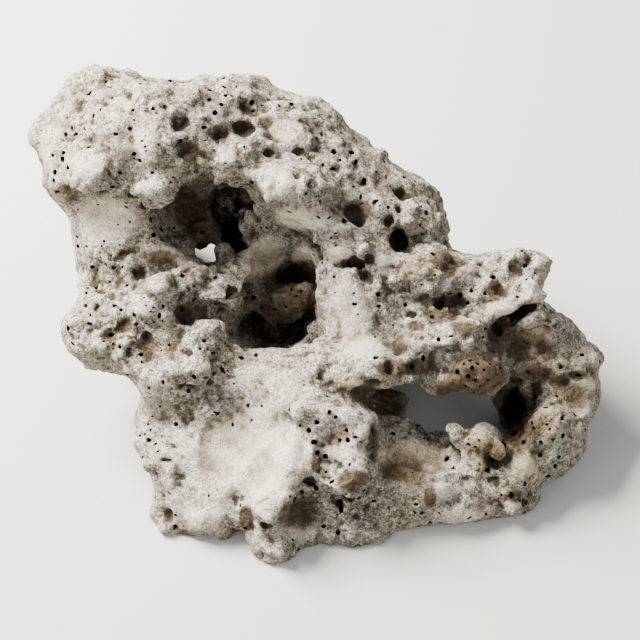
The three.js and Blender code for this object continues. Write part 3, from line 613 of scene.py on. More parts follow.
@dataclass
class Relief:
    """Knurls, gouges and cracks of the stone.

    Attributes:
        face: the stone's face.
        strays: how many small knurls and dents chance offers, most of them away from the face.
        stray_sizes: half widths of those, from the least to the greatest, in millimetres.
        stray_length: length of those, from the least to the greatest, in their widths.
        stray_rise: how far a small knurl stands out, from the least to the greatest, in half widths.
        knurl_share: which share of the strays are knurls.
        dent_rise: how far a dent's middle lies over the stone, in half widths.
        dent_shape: half length, width and depth of a dent, in half widths.
        calmest: how calm a place may be to take a stray.
        knurl_thick: half a knurl's thickness, as a share of its least half width.
        cut_grain: the grain that the gouges and cracks are fused at, in millimetres.
        dent_grain: the grain that the dents are fused at, in millimetres.
        crack_step: how far apart along a crack its cuts are, in its widths.
        gouge_view: how far a gouge leans to the viewer.
        gouge_thick: half its cutter's thickness at least, in its depths.
        gouge_round: half its cutter's thickness at least, as a share of its least half width.
    """

    face: Face
    strays: int = 600
    stray_sizes: tuple[float, float] = (2.6, 7.0)
    stray_length: tuple[float, float] = (1.0, 1.7)
    stray_rise: tuple[float, float] = (0.2, 0.45)
    knurl_share: float = 0.68
    dent_rise: float = 0.25
    dent_shape: tuple[float, float, float] = (0.8, 0.7, 0.7)
    calmest: float = 0.3
    knurl_thick: float = 0.8
    cut_grain: float = 0.6
    dent_grain: float = 0.7
    crack_step: float = 0.9
    gouge_view: float = 0.8
    gouge_thick: float = 1.7
    gouge_round: float = 0.7

    def knurls(self, skin: Skin) -> bpy.types.Object:
        """Models the knurls that are listed one by one.

        Args:
            skin: the surface that they sit on.

        Returns:
            The object that holds them.
        """
        places = []
        for mark, hit, out in skin.seats(KNURLS):
            wide, tall = mark.half
            thick = self.knurl_thick * min(wide, tall)
            middle = hit + out * (mark.deep - thick) * MM
            places.append(seated(middle, self.face.axes(mark.turn)[0], out, (wide, tall, thick)))
        return pebbles("knurls", 3, places)

    def cuts(self, skin: Skin) -> bpy.types.Object:
        """Models the gouges and cracks that are listed one by one, fused into one cutter.

        Args:
            skin: the surface that they go into.

        Returns:
            The cutter.
        """
        places = []
        for mark, hit, out in skin.seats(GOUGES):
            wide, tall = mark.half
            across, _, view = self.face.axes(mark.turn)
            way = (out + view * self.gouge_view).normalized()
            thick = max(self.gouge_thick * mark.deep, self.gouge_round * min(wide, tall))
            lift = thick - mark.deep
            mouth = math.sqrt(1 - (lift / thick) ** 2)
            middle = hit + way * lift * MM
            places.append(seated(middle, across, way, (wide / mouth, tall / mouth, thick)))
        for row in CRACKS:
            places += self._crack(skin, row)
        cutter = pebbles("cuts", 3, places)
        finish_with(cutter, "REMESH", mode="VOXEL", voxel_size=self.cut_grain * MM)
        return cutter

    def _crack(self, skin: Skin, row: Sequence[float]) -> list[Matrix]:
        """The cuts along one crack.

        Args:
            skin: the surface that it runs over.
            row: how wide and how deep it is, then its bends as x and y.

        Returns:
            The place of each cut.
        """
        wide, deep = row[:2]
        bends = [Vector(row[i:i + 2]) for i in range(2, len(row), 2)]
        spots = []
        for start, end in zip(bends, bends[1:]):
            count = max(2, round((end - start).length / (wide * self.crack_step)))
            spots += [(*start.lerp(end, i / count), wide) for i in range(count)]
        across, _, view = self.face.axes(0)
        return [
            seated(hit, across, (out + view).normalized(), (wide, wide, deep))
            for _, hit, out in skin.seats(spots)
        ]

    def strewn(
        self, piece: bpy.types.Object, calm: np.ndarray
    ) -> tuple[bpy.types.Object, bpy.types.Object]:
        """Strews small knurls and dents over the whole stone.

        Args:
            piece: the stone.
            calm: how calm each of its corners is, from 0 to 1.

        Returns:
            The object that holds the knurls and the cutter of the dents.
        """
        mesh = piece.data
        chance = random.Random(SEED)
        view = self.face.axes(0)[2]
        knurls = []
        dents = []
        least, most = self.stray_sizes
        for _ in range(self.strays):
            polygon = mesh.polygons[chance.randrange(len(mesh.polygons))]
            size = least + (most - least) * chance.random() ** 2
            long = chance.uniform(*self.stray_length)
            spin = Vector([chance.uniform(-1, 1) for _ in range(3)])
            rise = chance.uniform(*self.stray_rise)
            out = polygon.normal.copy()
            if calm[polygon.vertices[0]] > self.calmest or out.dot(view) > chance.uniform(0.0, 1.0):
                continue
            if chance.random() < self.knurl_share:
                middle = polygon.center - out * size * (self.knurl_thick - rise) * MM
                knurls.append(seated(middle, spin, out, (size * long, size, size * self.knurl_thick)))
            else:
                middle = polygon.center + out * size * self.dent_rise * MM
                half, broad, deep = (size * share for share in self.dent_shape)
                dents.append(seated(middle, spin, out, (half * long, broad, deep)))
        cutter = pebbles("dents", 2, dents)
        finish_with(cutter, "REMESH", mode="VOXEL", voxel_size=self.dent_grain * MM)
        return pebbles("strays", 2, knurls), cutter


@dataclass
class Bores:
    """The holes that riddle the stone.

    Attributes:
        face: the stone's face.
        count: how many of them lie where chance puts them.
        least: radius of the smallest, in millimetres.
        most: radius of the largest that chance places, in millimetres.
        reach: how deep a bore goes, in its radii.
        rarity: how much rarer large ones are than small ones, as a power.
        patch: width of the waves that gather them in patches, in millimetres.
        riddled: how many lie between two patches and how many more on one.
        patch_edge: the height of those waves where a patch starts and where it is full.
        thinned: how many fewer lie where the stone is calm, as a share.
        spared: how many fewer lie on the face, where most are listed one by one.
        shallow: least depth of one that chance places, in its radii.
        lean: how far a bore leans from the surface's direction at most.
        stretch: how much wider than high one is at most.
        sunk: how far a bore's middle lies under its mouth, as a share of its depth.
        wall: how much stone is kept between two of them, as a share of their radii.
        cell: side of the cells that the bores are looked up in, in millimetres.
        small: radius under which a bore is cut by a simpler shape, in millimetres.
        brim: how far out a corner still belongs to a bore, in its radii.
        dusk: the height in a bore under which its painted shade starts, in its depths.
        fall: how much lower the painted shade is full, in its depths.
    """

    face: Face
    count: int = 700
    least: float = 0.55
    most: float = 1.4
    reach: float = 1.8
    rarity: float = 2.4
    patch: float = 7.0
    riddled: tuple[float, float] = (0.15, 1.6)
    patch_edge: tuple[float, float] = (-0.6, 1.8)
    thinned: float = 0.93
    spared: float = 0.65
    shallow: float = 1.2
    lean: float = 0.8
    stretch: float = 0.6
    sunk: float = 0.3
    wall: float = 1.15
    cell: float = 6.0
    small: float = 1.35
    brim: float = 1.12
    dusk: float = 0.42
    fall: float = 0.6
    places: list[Matrix] = field(default_factory=list)
    taken: dict[tuple[int, ...], list[tuple[Vector, float]]] = field(default_factory=dict)

    def _room(self, point: Vector, radius: float) -> bool:
        """Keeps room for a bore.

        Args:
            point: its mouth, in metres.
            radius: its radius in millimetres.

        Returns:
            Whether it fits between the others.
        """
        x, y, z = (math.floor(c / (self.cell * MM)) for c in point)
        for step in itertools.product((-1, 0, 1), repeat=3):
            for other, size in self.taken.get((x + step[0], y + step[1], z + step[2]), ()):
                if (other - point).length < (radius + size) * self.wall * MM:
                    return False
        self.taken.setdefault((x, y, z), []).append((point, radius))
        return True

    def place(self, piece: bpy.types.Object, calm: np.ndarray) -> None:
        """Finds the place of every bore.

        Args:
            piece: the stone.
            calm: how calm each of its corners is, from 0 to 1.
        """
        for mark, hit, out in Skin(piece, self.face).seats(BORES):
            wide, tall = mark.half
            if not self._room(hit, min(wide, tall)):
                continue
            across, _, view = self.face.axes(mark.turn)
            way = (out + view).normalized()
            deep = self.reach * max(wide, tall)
            middle = hit - way * self.sunk * deep * MM
            self.places.append(seated(middle, across, way, (wide, tall, deep)))
        LOG.info("bores placed by hand: %d", len(self.places))
        self._strew(piece, calm)

    def _strew(self, piece: bpy.types.Object, calm: np.ndarray) -> None:
        """Strews the small bores over the stone, in patches.

        Args:
            piece: the stone.
            calm: how calm each of its corners is, from 0 to 1.
        """
        mesh = piece.data
        areas = np.array([p.area for p in mesh.polygons])
        firsts = np.array([p.vertices[0] for p in mesh.polygons])
        few, more = self.riddled
        waves = waves_at(corners_of(mesh)[firsts], self.patch)
        facing = np.array([p.normal for p in mesh.polygons]) @ np.array(self.face.axes(0)[2])
        weight = areas * (few + eased(waves, *self.patch_edge) * more) * (1 - self.thinned * calm[firsts])
        weight *= 1 - self.spared * eased(facing, 0.0, 0.7)
        chance = np.random.default_rng(SEED)
        picks = chance.choice(len(areas), size=self.count * 3, p=weight / weight.sum())
        draws = chance.random((len(picks), 7))
        wanted = len(self.places) + self.count
        for pick, draw in zip(picks, draws):
            if len(self.places) >= wanted:
                break
            polygon = mesh.polygons[int(pick)]
            radius = self.least + (self.most - self.least) * float(draw[0]) ** self.rarity
            if not self._room(polygon.center.copy(), radius):
                continue
            out = polygon.normal.copy()
            way = (out + Vector(draw[1:4] - 0.5) * self.lean).normalized()
            wide = radius * (1 + self.stretch * float(draw[4]) ** 2)
            deep = radius * (self.shallow + float(draw[5]))
            middle = polygon.center - way * self.sunk * deep * MM
            self.places.append(seated(middle, Vector(draw[4:7] - 0.5), way, (wide, radius, deep)))

    def cutter(self) -> bpy.types.Object:
        """Models all the bores.

        Returns:
            The object that holds them.
        """
        small = [p for p in self.places if p.median_scale < self.small * MM]
        large = [p for p in self.places if p.median_scale >= self.small * MM]
        heap = pebbles("bores", 1, small)
        joined(heap, pebbles("wide_bores", 2, large))
        return heap

    def depths(self, corners: np.ndarray) -> np.ndarray:
        """How deep in a bore each corner lies.

        Args:
            corners: the corners of the stone.

        Returns:
            0 on the open surface to 1 deep in a bore.
        """
        tree = KDTree(len(corners))
        for i, corner in enumerate(corners):
            tree.insert(corner, i)
        tree.balance()
        depth = np.zeros(len(corners))
        for place in self.places:
            sizes = place.to_scale()
            back = place.inverted()
            for corner, i, _ in tree.find_range(place.translation, self.brim * max(sizes)):
                spot = back @ corner
                if spot.length < self.brim:
                    depth[i] = max(depth[i], min(1.0, max(0.0, (self.dusk - spot.z) / self.fall)))
        return depth


class Web:
    """The corners of a mesh and the edges between them."""

    def __init__(self, mesh: bpy.types.Mesh) -> None:
        """Reads a mesh.

        Args:
            mesh: the mesh.
        """
        ends = np.empty(len(mesh.edges) * 2, np.int32)
        mesh.edges.foreach_get("vertices", ends)
        self.ends = ends.reshape(-1, 2)
        self.corners = corners_of(mesh)
        self.ways = read_rows(mesh.vertex_normals, "vector")
        self.count = np.bincount(ends, minlength=len(self.corners)).clip(1)

    def around(self, values: np.ndarray) -> np.ndarray:
        """The mean of a value at each corner's neighbours."""
        ends = zip(self.ends.T, self.ends.T[::-1])
        return sum(np.bincount(a, values[b], len(self.corners)) for a, b in ends) / self.count

    def evened(self, values: np.ndarray, rounds: int) -> np.ndarray:
        """A value that is evened out between neighbours.

        Args:
            values: the value at each corner.
            rounds: how often.

        Returns:
            The new values.
        """
        for _ in range(rounds):
            values = 0.5 * values + 0.5 * self.around(values)
        return values


@dataclass
class Patina:
    """Where the stone is calm, stained, pale or dirty, where a highlight is painted on the sides that
    face the light, and where shade is painted in its creases, hollows and caves.

    Attributes:
        face: the stone's face.
        light: the way to the light whose highlight is painted on the sides that face it.
        depth: how deep a stain reaches into the stone, in millimetres.
        dot_depth: how deep a red dot does.
        fade: where a stain starts to fade and where it ends, in its radii.
        rays: how many ways are looked along to see how hidden a corner is.
        reach: how far they look, in millimetres.
        lift: how far over the surface they start, in millimetres.
        blunt: what is added to a side so that the least creases don't count, in millimetres.
        rounds: how often a value is evened out between neighbours.
        spots: every painted spot: its kind, strength, middle, axes and radii.
    """

    face: Face
    light: tuple[float, float, float] = (-0.6, 0.3, 0.74)
    depth: float = 24.0
    dot_depth: float = 2.0
    fade: tuple[float, float] = (0.2, 1.45)
    rays: int = 16
    reach: float = 32.0
    lift: float = 0.4
    blunt: float = 0.2
    rounds: int = 6
    spots: list[tuple[Stain, float, Vector, np.ndarray, np.ndarray]] = field(default_factory=list)

    def place(self, skin: Skin) -> None:
        """Finds the place of every spot.

        Args:
            skin: the stone's surface.
        """
        for kind, strength, rows in STAINS:
            for mark, hit, _ in skin.seats(rows):
                wide, tall = mark.half
                deep = max(wide, tall, self.dot_depth if kind is Stain.RED else self.depth)
                axes = np.array(self.face.axes(mark.turn))
                self.spots.append((kind, strength, hit, axes, np.array((wide, tall, deep)) * MM))

    def amount(self, kind: Stain, corners: np.ndarray) -> np.ndarray:
        """How much of a stain each corner has.

        Args:
            kind: the stain.
            corners: the corners of the stone.

        Returns:
            Values from 0 to 1.
        """
        total = np.zeros(len(corners))
        for other, strength, middle, axes, radii in self.spots:
            if other is kind:
                far = np.linalg.norm((corners - np.array(middle)) @ axes.T / radii, axis=1)
                total = np.maximum(total, strength * (1 - eased(far, *self.fade)))
        return total

    def hidden(self, piece: bpy.types.Object, web: Web) -> np.ndarray:
        """How hidden from the open each corner is, seen along many ways.

        Args:
            piece: the stone.
            web: its corners and edges.

        Returns:
            Values from 0 in the open to 1 deep in a cave.
        """
        tree = Skin(piece, self.face).tree
        fan = list(self._fan())
        reach = self.reach * MM
        closed = np.zeros(len(web.corners))
        for i, (corner, way) in enumerate(zip(web.corners, web.ways)):
            out = Vector(way)
            start = Vector(corner) + out * self.lift * MM
            turn = out.to_track_quat("Z", "Y")
            found = (tree.ray_cast(start, turn @ ray, reach)[3] for ray in fan)
            closed[i] = sum(1 - far / reach for far in found if far is not None) / len(fan)
        return closed

    def _fan(self) -> Iterator[Vector]:
        """Spreads ways over a half round about +Z, thickest in the middle.

        Yields:
            A way of length 1.
        """
        golden = math.pi * (3 - math.sqrt(5))
        for i in range(self.rays):
            share = (i + 0.5) / self.rays
            wide = math.sqrt(share)
            yield Vector((wide * math.cos(golden * i), wide * math.sin(golden * i), math.sqrt(1 - share)))

    def light_facing(self, web: Web) -> np.ndarray:
        """How far each corner faces the light, from -1 to 1, for the highlight painted on that side."""
        return web.evened(web.ways @ np.array(Vector(self.light).normalized()), self.rounds)

    def creased(self, web: Web, rounds: int) -> np.ndarray:
        """How far the surface is creased inwards at each corner.

        Args:
            web: the stone's corners and edges.
            rounds: how often the result is evened out between neighbours.

        Returns:
            Above 0 in a crease, below 0 on an edge.
        """
        middle = np.stack([web.around(web.corners[:, i]) for i in range(3)], axis=1)
        inward = np.einsum("ij,ij->i", middle - web.corners, web.ways)
        side = web.around(np.linalg.norm(middle - web.corners, axis=1)) + self.blunt * MM
        return web.evened(inward / side, rounds)


@dataclass
class Stone:
    """The whole base rock. Its sizes are in millimetres.

    Attributes:
        face: the stone's face.
        cad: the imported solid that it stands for.
        weld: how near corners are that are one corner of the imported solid.
        rough_grain: the grain that the main shape is fused at.
        rounds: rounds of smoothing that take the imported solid's facets away.
        middle_grain: the grain that the knurls are fused at.
        fine_grain: the grain of the surface before it is bored.
        relief_steps: in how many steps the relief grows weaker to where the stone is calm.
        calming: how much weaker it is there.
        rough_waves: width of the waves that make some parts rougher.
        wave_edge: the height of those waves where that starts and where it is full.
        even: how rough the evenest parts are, as a share.
        most_triangles: the triangles that the stone may come to.
        away_cost: how much sooner corners that face away are given up for that.
        away_edge: how far a corner faces the viewer where that ends, from nearly to wholly.
        away_least: how strongly it counts on the face, as a share.
        sole: how far over the ground its flat underside is.
        soft_angle: degrees up to which an edge is shaded soft.
        piece: the finished object.
    """

    face: Face
    cad: bpy.types.Object
    weld: float = 0.01
    rough_grain: float = 1.6
    rounds: int = 9
    middle_grain: float = 1.3
    fine_grain: float = 1.05
    relief_steps: int = 10
    calming: float = 0.8
    rough_waves: float = 9.0
    wave_edge: tuple[float, float] = (-1.5, 1.2)
    even: float = 0.5
    most_triangles: int = 194000
    away_cost: float = 1e-4
    away_edge: tuple[float, float] = (-0.3, 0.2)
    away_least: float = 0.2
    sole: float = 0.1
    soft_angle: float = 55.0
    piece: bpy.types.Object = field(init=False)

    def build(self) -> bpy.types.Object:
        """Models the stone.

        Returns:
            The finished object.
        """
        relief = Relief(self.face)
        patina = Patina(self.face)
        bores = Bores(self.face)
        self._copy_solid()
        self._fuse(self.rough_grain, self.rounds)
        patina.place(self._skin())
        joined(self.piece, relief.knurls(self._skin()))
        self._fuse(self.middle_grain, 1)
        cut_by(self.piece, relief.cuts(self._skin()))
        knurls, dents = relief.strewn(self.piece, self._calm(patina))
        cut_by(self.piece, dents)
        joined(self.piece, knurls)
        self._fuse(self.fine_grain, 1)
        self._roughen(patina)
        bores.place(self.piece, self._calm(patina))
        cut_by(self.piece, bores.cutter())
        self._cut_flat()
        self._lighten()
        self._paint(patina, bores)
        return self.piece

    def _skin(self) -> Skin:
        """The stone's surface as it is so far."""
        return Skin(self.piece, self.face)

    def _calm(self, patina: Patina) -> np.ndarray:
        """How calm each of the stone's corners is."""
        return patina.amount(Stain.CALM, corners_of(self.piece.data))

    def _copy_solid(self) -> None:
        """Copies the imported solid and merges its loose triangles."""
        mesh = self.cad.data.copy()
        mesh.name = "base_rock"
        mesh.materials.clear()
        self.piece = bpy.data.objects.new("base_rock", mesh)
        bpy.context.scene.collection.objects.link(self.piece)
        select_only(self.piece)
        bpy.ops.object.mode_set(mode="EDIT")
        bpy.ops.mesh.select_all(action="SELECT")
        bpy.ops.mesh.remove_doubles(threshold=self.weld * MM)
        bpy.ops.object.mode_set(mode="OBJECT")

    def _fuse(self, grain: float, rounds: int) -> None:
        """Fuses the stone at an even grain and smooths it.

        Args:
            grain: the grain, in millimetres.
            rounds: the rounds of smoothing.
        """
        finish_with(self.piece, "REMESH", mode="VOXEL", voxel_size=grain * MM)
        finish_with(self.piece, "SMOOTH", factor=0.5, iterations=rounds)
        LOG.info("fused at %.2f mm: %d triangles", grain, triangles_of(self.piece.data))

    def _roughen(self, patina: Patina) -> None:
        """Raises layer on layer of relief, less where the stone is calm.

        Args:
            patina: where the stone is calm.
        """
        rough = self.piece.vertex_groups.new(name="rough")
        waves = waves_at(corners_of(self.piece.data), self.rough_waves)
        rugged = self.even + (1 - self.even) * eased(waves, *self.wave_edge)
        steps = self.relief_steps
        levels = np.round((1 - self.calming * self._calm(patina)) * rugged * steps).astype(int)
        for level in range(1, steps + 1):
            rough.add(np.flatnonzero(levels == level).tolist(), level / steps, "REPLACE")
        for name, width, height, middle, basis, finer in RELIEF_LAYERS:
            texture = bpy.data.textures.new(name, "CLOUDS")
            texture.noise_scale = width * MM
            texture.noise_basis = basis
            texture.noise_depth = finer
            finish_with(
                self.piece,
                "DISPLACE",
                texture=texture,
                texture_coords="LOCAL",
                vertex_group="rough",
                strength=height * MM,
                mid_level=middle,
            )
            bpy.data.textures.remove(texture)
        self.piece.vertex_groups.clear()

    def _cut_flat(self) -> None:
        """Cuts the underside off flat where the stone stands."""
        bpy.ops.object.select_all(action="DESELECT")
        side = 2 * self.face.reach * MM
        bpy.ops.mesh.primitive_cube_add(size=side, location=(0, 0, self.sole * MM - side / 2))
        cut_by(self.piece, bpy.context.object)

    def _lighten(self) -> None:
        """Thins the mesh to the triangles that it may have and shades it."""
        count = triangles_of(self.piece.data)
        LOG.info("bored: %d triangles", count)
        if count > self.most_triangles:
            view = np.array(self.face.axes(0)[2])
            facing = read_rows(self.piece.data.vertex_normals, "vector") @ view
            away = 1 - (1 - self.away_least) * eased(facing, *self.away_edge)
            group = self.piece.vertex_groups.new(name="away")
            for i, share in enumerate(np.round(away, 1).tolist()):
                group.add([i], share, "REPLACE")
            finish_with(
                self.piece,
                "DECIMATE",
                ratio=self.most_triangles / count,
                vertex_group="away",
                vertex_group_factor=self.away_cost,
            )
            self.piece.vertex_groups.clear()
        corners = corners_of(self.piece.data)
        corners[:, 2] = np.maximum(corners[:, 2], self.sole * MM / 2)  # none goes under the ground
        self.piece.data.vertices.foreach_set("co", corners.ravel())
        select_only(self.piece)
        bpy.ops.object.shade_smooth_by_angle(angle=math.radians(self.soft_angle))

    def _paint(self, patina: Patina, bores: Bores) -> None:
        """Paints stains, dirt, a painted highlight and the painted shade of creases, hollows, caves and
        pores as attributes of the stone.

        Args:
            patina: where the stains, the painted highlight and the painted shade are.
            bores: where the pores are, whose insides take painted shade.
        """
        web = Web(self.piece.data)
        layers = {kind.value: patina.amount(kind, web.corners) for kind in Stain}
        # These carry painted light: a highlight on the sides facing the light, and shade with dirt in
        # creases, hollows, caves and deep in the pores.
        layers |= {"crease": patina.creased(web, 1), "hollow": patina.creased(web, patina.rounds)}
        layers |= {"painted_highlight": patina.light_facing(web), "hidden": patina.hidden(self.piece, web)}
        layers |= {"pore_shade": bores.depths(web.corners)}
        for name, values in layers.items():
            attribute = self.piece.data.attributes.new(name, "FLOAT", "POINT")
            attribute.data.foreach_set("value", values.astype(np.float32))


# ------------------------------------------------------------------------------------------
# Materials
# ------------------------------------------------------------------------------------------


@dataclass(frozen=True)
class Term:
    """A socket's value in a shader, for plain arithmetic.

    Attributes:
        tree: the tree that holds it.
        socket: the output socket.
    """

    tree: bpy.types.NodeTree
    socket: bpy.types.NodeSocket

    def _math(self, operation: str, *values: Term | Number, clamp: bool = False) -> Term:
        """Adds a Math node.

        Args:
            operation: what it works out.
            *values: its inputs, in order.
            clamp: whether the result is kept from 0 to 1.

        Returns:
            The result.
        """
        node = self.tree.nodes.new("ShaderNodeMath")
        node.operation = operation
        node.use_clamp = clamp
        for place, value in zip(node.inputs, values):
            if isinstance(value, Term):
                self.tree.links.new(value.socket, place)
            else:
                place.default_value = value
        return Term(self.tree, node.outputs[0])

    def __add__(self, other: Term | Number) -> Term:
        """The sum."""
        return self._math("ADD", self, other)

    def __sub__(self, other: Term | Number) -> Term:
        """The difference."""
        return self._math("SUBTRACT", self, other)

    def __mul__(self, other: Term | Number) -> Term:
        """The product."""
        return self._math("MULTIPLY", self, other)

    def __rsub__(self, other: Number) -> Term:
        """A number less this."""
        return self._math("SUBTRACT", other, self)

    __radd__ = __add__
    __rmul__ = __mul__

    def folded(self) -> Term:
        """How far the value is from 0.5."""
        return self._math("ABSOLUTE", self - 0.5)

    def clamped(self) -> Term:
        """The value kept from 0 to 1."""
        return self._math("ADD", self, 0.0, clamp=True)

    def between(self, low: float, high: float) -> Term:
        """How far the value is on its way from low to high, eased at both ends.

        Args:
            low: where the result is 0.
            high: where the result is 1.

        Returns:
            A value from 0 to 1.
        """
        node = self.tree.nodes.new("ShaderNodeMapRange")
        node.interpolation_type = "SMOOTHSTEP"
        node.inputs["From Min"].default_value = low
        node.inputs["From Max"].default_value = high
        self.tree.links.new(self.socket, node.inputs["Value"])
        return Term(self.tree, node.outputs["Result"])


class Recipe:
    """One material's node tree, with short ways to add its nodes."""

    def __init__(self, name: str, colour: Colour) -> None:
        """Starts a plain material.

        Args:
            name: the material's name.
            colour: the colour that others are laid over.
        """
        self.colour: Any = colour
        self.material = bpy.data.materials.new(name)
        self.material.use_nodes = True
        self.tree = self.material.node_tree
        self.shader = self.tree.nodes["Principled BSDF"]

    def node(
        self, kind: str, settings: dict[str, Any] | None = None, inputs: dict[str, Any] | None = None
    ) -> bpy.types.Node:
        """Adds a node.

        Args:
            kind: its type.
            settings: its properties, which are set first.
            inputs: values or links of its sockets, by name.

        Returns:
            The node.
        """
        node = self.tree.nodes.new(kind)
        for key, value in (settings or {}).items():
            setattr(node, key, value)
        for key, value in (inputs or {}).items():
            self.feed(node.inputs[key], value)
        return node

    def feed(self, socket: Any, value: Any) -> None:
        """Sets a socket to a value or links it.

        Args:
            socket: the input socket.
            value: a Term, an output socket, a number or a colour.
        """
        if isinstance(value, Term):
            self.tree.links.new(value.socket, socket)
        elif isinstance(value, bpy.types.NodeSocket):
            self.tree.links.new(value, socket)
        else:
            socket.default_value = (*value, 1.0) if isinstance(value, tuple) else value

    def noise(self, width: float, detail: float = 2.0, rough: float = 0.5, warp: float = 0.0) -> Term:
        """A cloudy pattern.

        Args:
            width: its width in millimetres.
            detail: finer layers on top of it.
            rough: how strong those are.
            warp: how far it is bent by itself.

        Returns:
            A value about 0.5.
        """
        place = self.node("ShaderNodeTexCoord").outputs["Object"]
        inputs = {"Vector": place, "Scale": 1 / (width * MM), "Detail": detail, "Roughness": rough}
        inputs["Distortion"] = warp
        return Term(self.tree, self.node("ShaderNodeTexNoise", None, inputs).outputs["Fac"])

    @staticmethod
    def creased(pattern: Term, wide: float) -> Term:
        """Thin lines that wind along where a pattern is at its middle.

        Args:
            pattern: a pattern about 0.5.
            wide: how far from its middle it still counts.

        Returns:
            1 along the lines and 0 off them.
        """
        return pattern.folded().between(wide, 0.0)

    def painted(self, name: str) -> Term:
        """A number painted on the piece's corners."""
        node = self.node("ShaderNodeAttribute", {"attribute_name": name})
        return Term(self.tree, node.outputs["Fac"])

    def mixed(self, share: Term, low: Any, high: Any) -> bpy.types.NodeSocket:
        """A colour between two.

        Args:
            share: 0 for low, 1 for high.
            low: a colour or a colour socket.
            high: a colour or a colour socket.

        Returns:
            The colour socket.
        """
        node = self.node("ShaderNodeMix", {"data_type": "RGBA"})
        self.feed(node.inputs[0], share)
        self.feed(node.inputs[6], low)
        self.feed(node.inputs[7], high)
        return node.outputs[2]

    def lay(self, share: Term, shade: Any) -> None:
        """Lays a colour over the one so far, where share is over 0."""
        self.colour = self.mixed(share, self.colour, shade)

    def raised(self, height: Term, distance: float, strength: float) -> None:
        """Makes a relief of the shader's surface.

        Args:
            height: from 0 to 1.
            distance: how high 1 stands, in millimetres.
            strength: how strongly it shows.
        """
        inputs = {"Height": height, "Distance": distance * MM, "Strength": strength}
        bump = self.node("ShaderNodeBump", None, inputs)
        self.feed(self.shader.inputs["Normal"], bump.outputs["Normal"])

    def finish(self, piece: bpy.types.Object, roughness: float, shine: float) -> None:
        """Sets the shader and gives the material to a piece.

        Args:
            piece: the piece, which has no other material.
            roughness: how rough it is, from 0 to 1.
            shine: how strongly its surface mirrors, from 0 to 1.
        """
        self.feed(self.shader.inputs["Base Color"], self.colour)
        self.feed(self.shader.inputs["Roughness"], roughness)
        self.feed(self.shader.inputs["Specular IOR Level"], shine)
        piece.data.materials.append(self.material)


class Patterns:
    """What the limestone's colour and relief are made of."""

    def __init__(self, recipe: Recipe) -> None:
        """Adds the patterns, from the broadest to the finest, and reads what is painted.

        Args:
            recipe: the stone's material.
        """
        self.calm = recipe.painted(Stain.CALM.value)
        self.chalk_and_highlight = recipe.painted(Stain.CHALK_AND_HIGHLIGHT.value)
        self.hidden = recipe.painted("hidden")
        self.crease = recipe.painted("crease")
        self.broad = recipe.noise(34, 3, 0.55, 0.6)
        self.patch = recipe.noise(10, 4, 0.62, 0.5)
        self.blot = recipe.noise(4.5, 4, 0.65, 0.3)
        self.rough = recipe.noise(3.2, 5, 0.72, 0.4) * (1 - 0.7 * self.calm)
        self.speck = recipe.noise(1.6, 3, 0.7)
        self.grain = recipe.noise(0.7, 2, 0.65)
        pepper = (1 - recipe.noise(1.1, 1, 0.4)).between(0.63, 0.7)
        self.pepper = pepper * self.patch.between(0.4, 0.6) * (1 - 0.6 * self.calm)
        wrinkle = recipe.creased(recipe.noise(9, 5, 0.62, 0.8), 0.035)
        crack = recipe.creased(recipe.noise(3.4, 3, 0.6, 0.4), 0.05) * self.patch.between(0.42, 0.6)
        self.groove = (wrinkle + crack * 0.7) * (1 - 0.75 * self.calm)


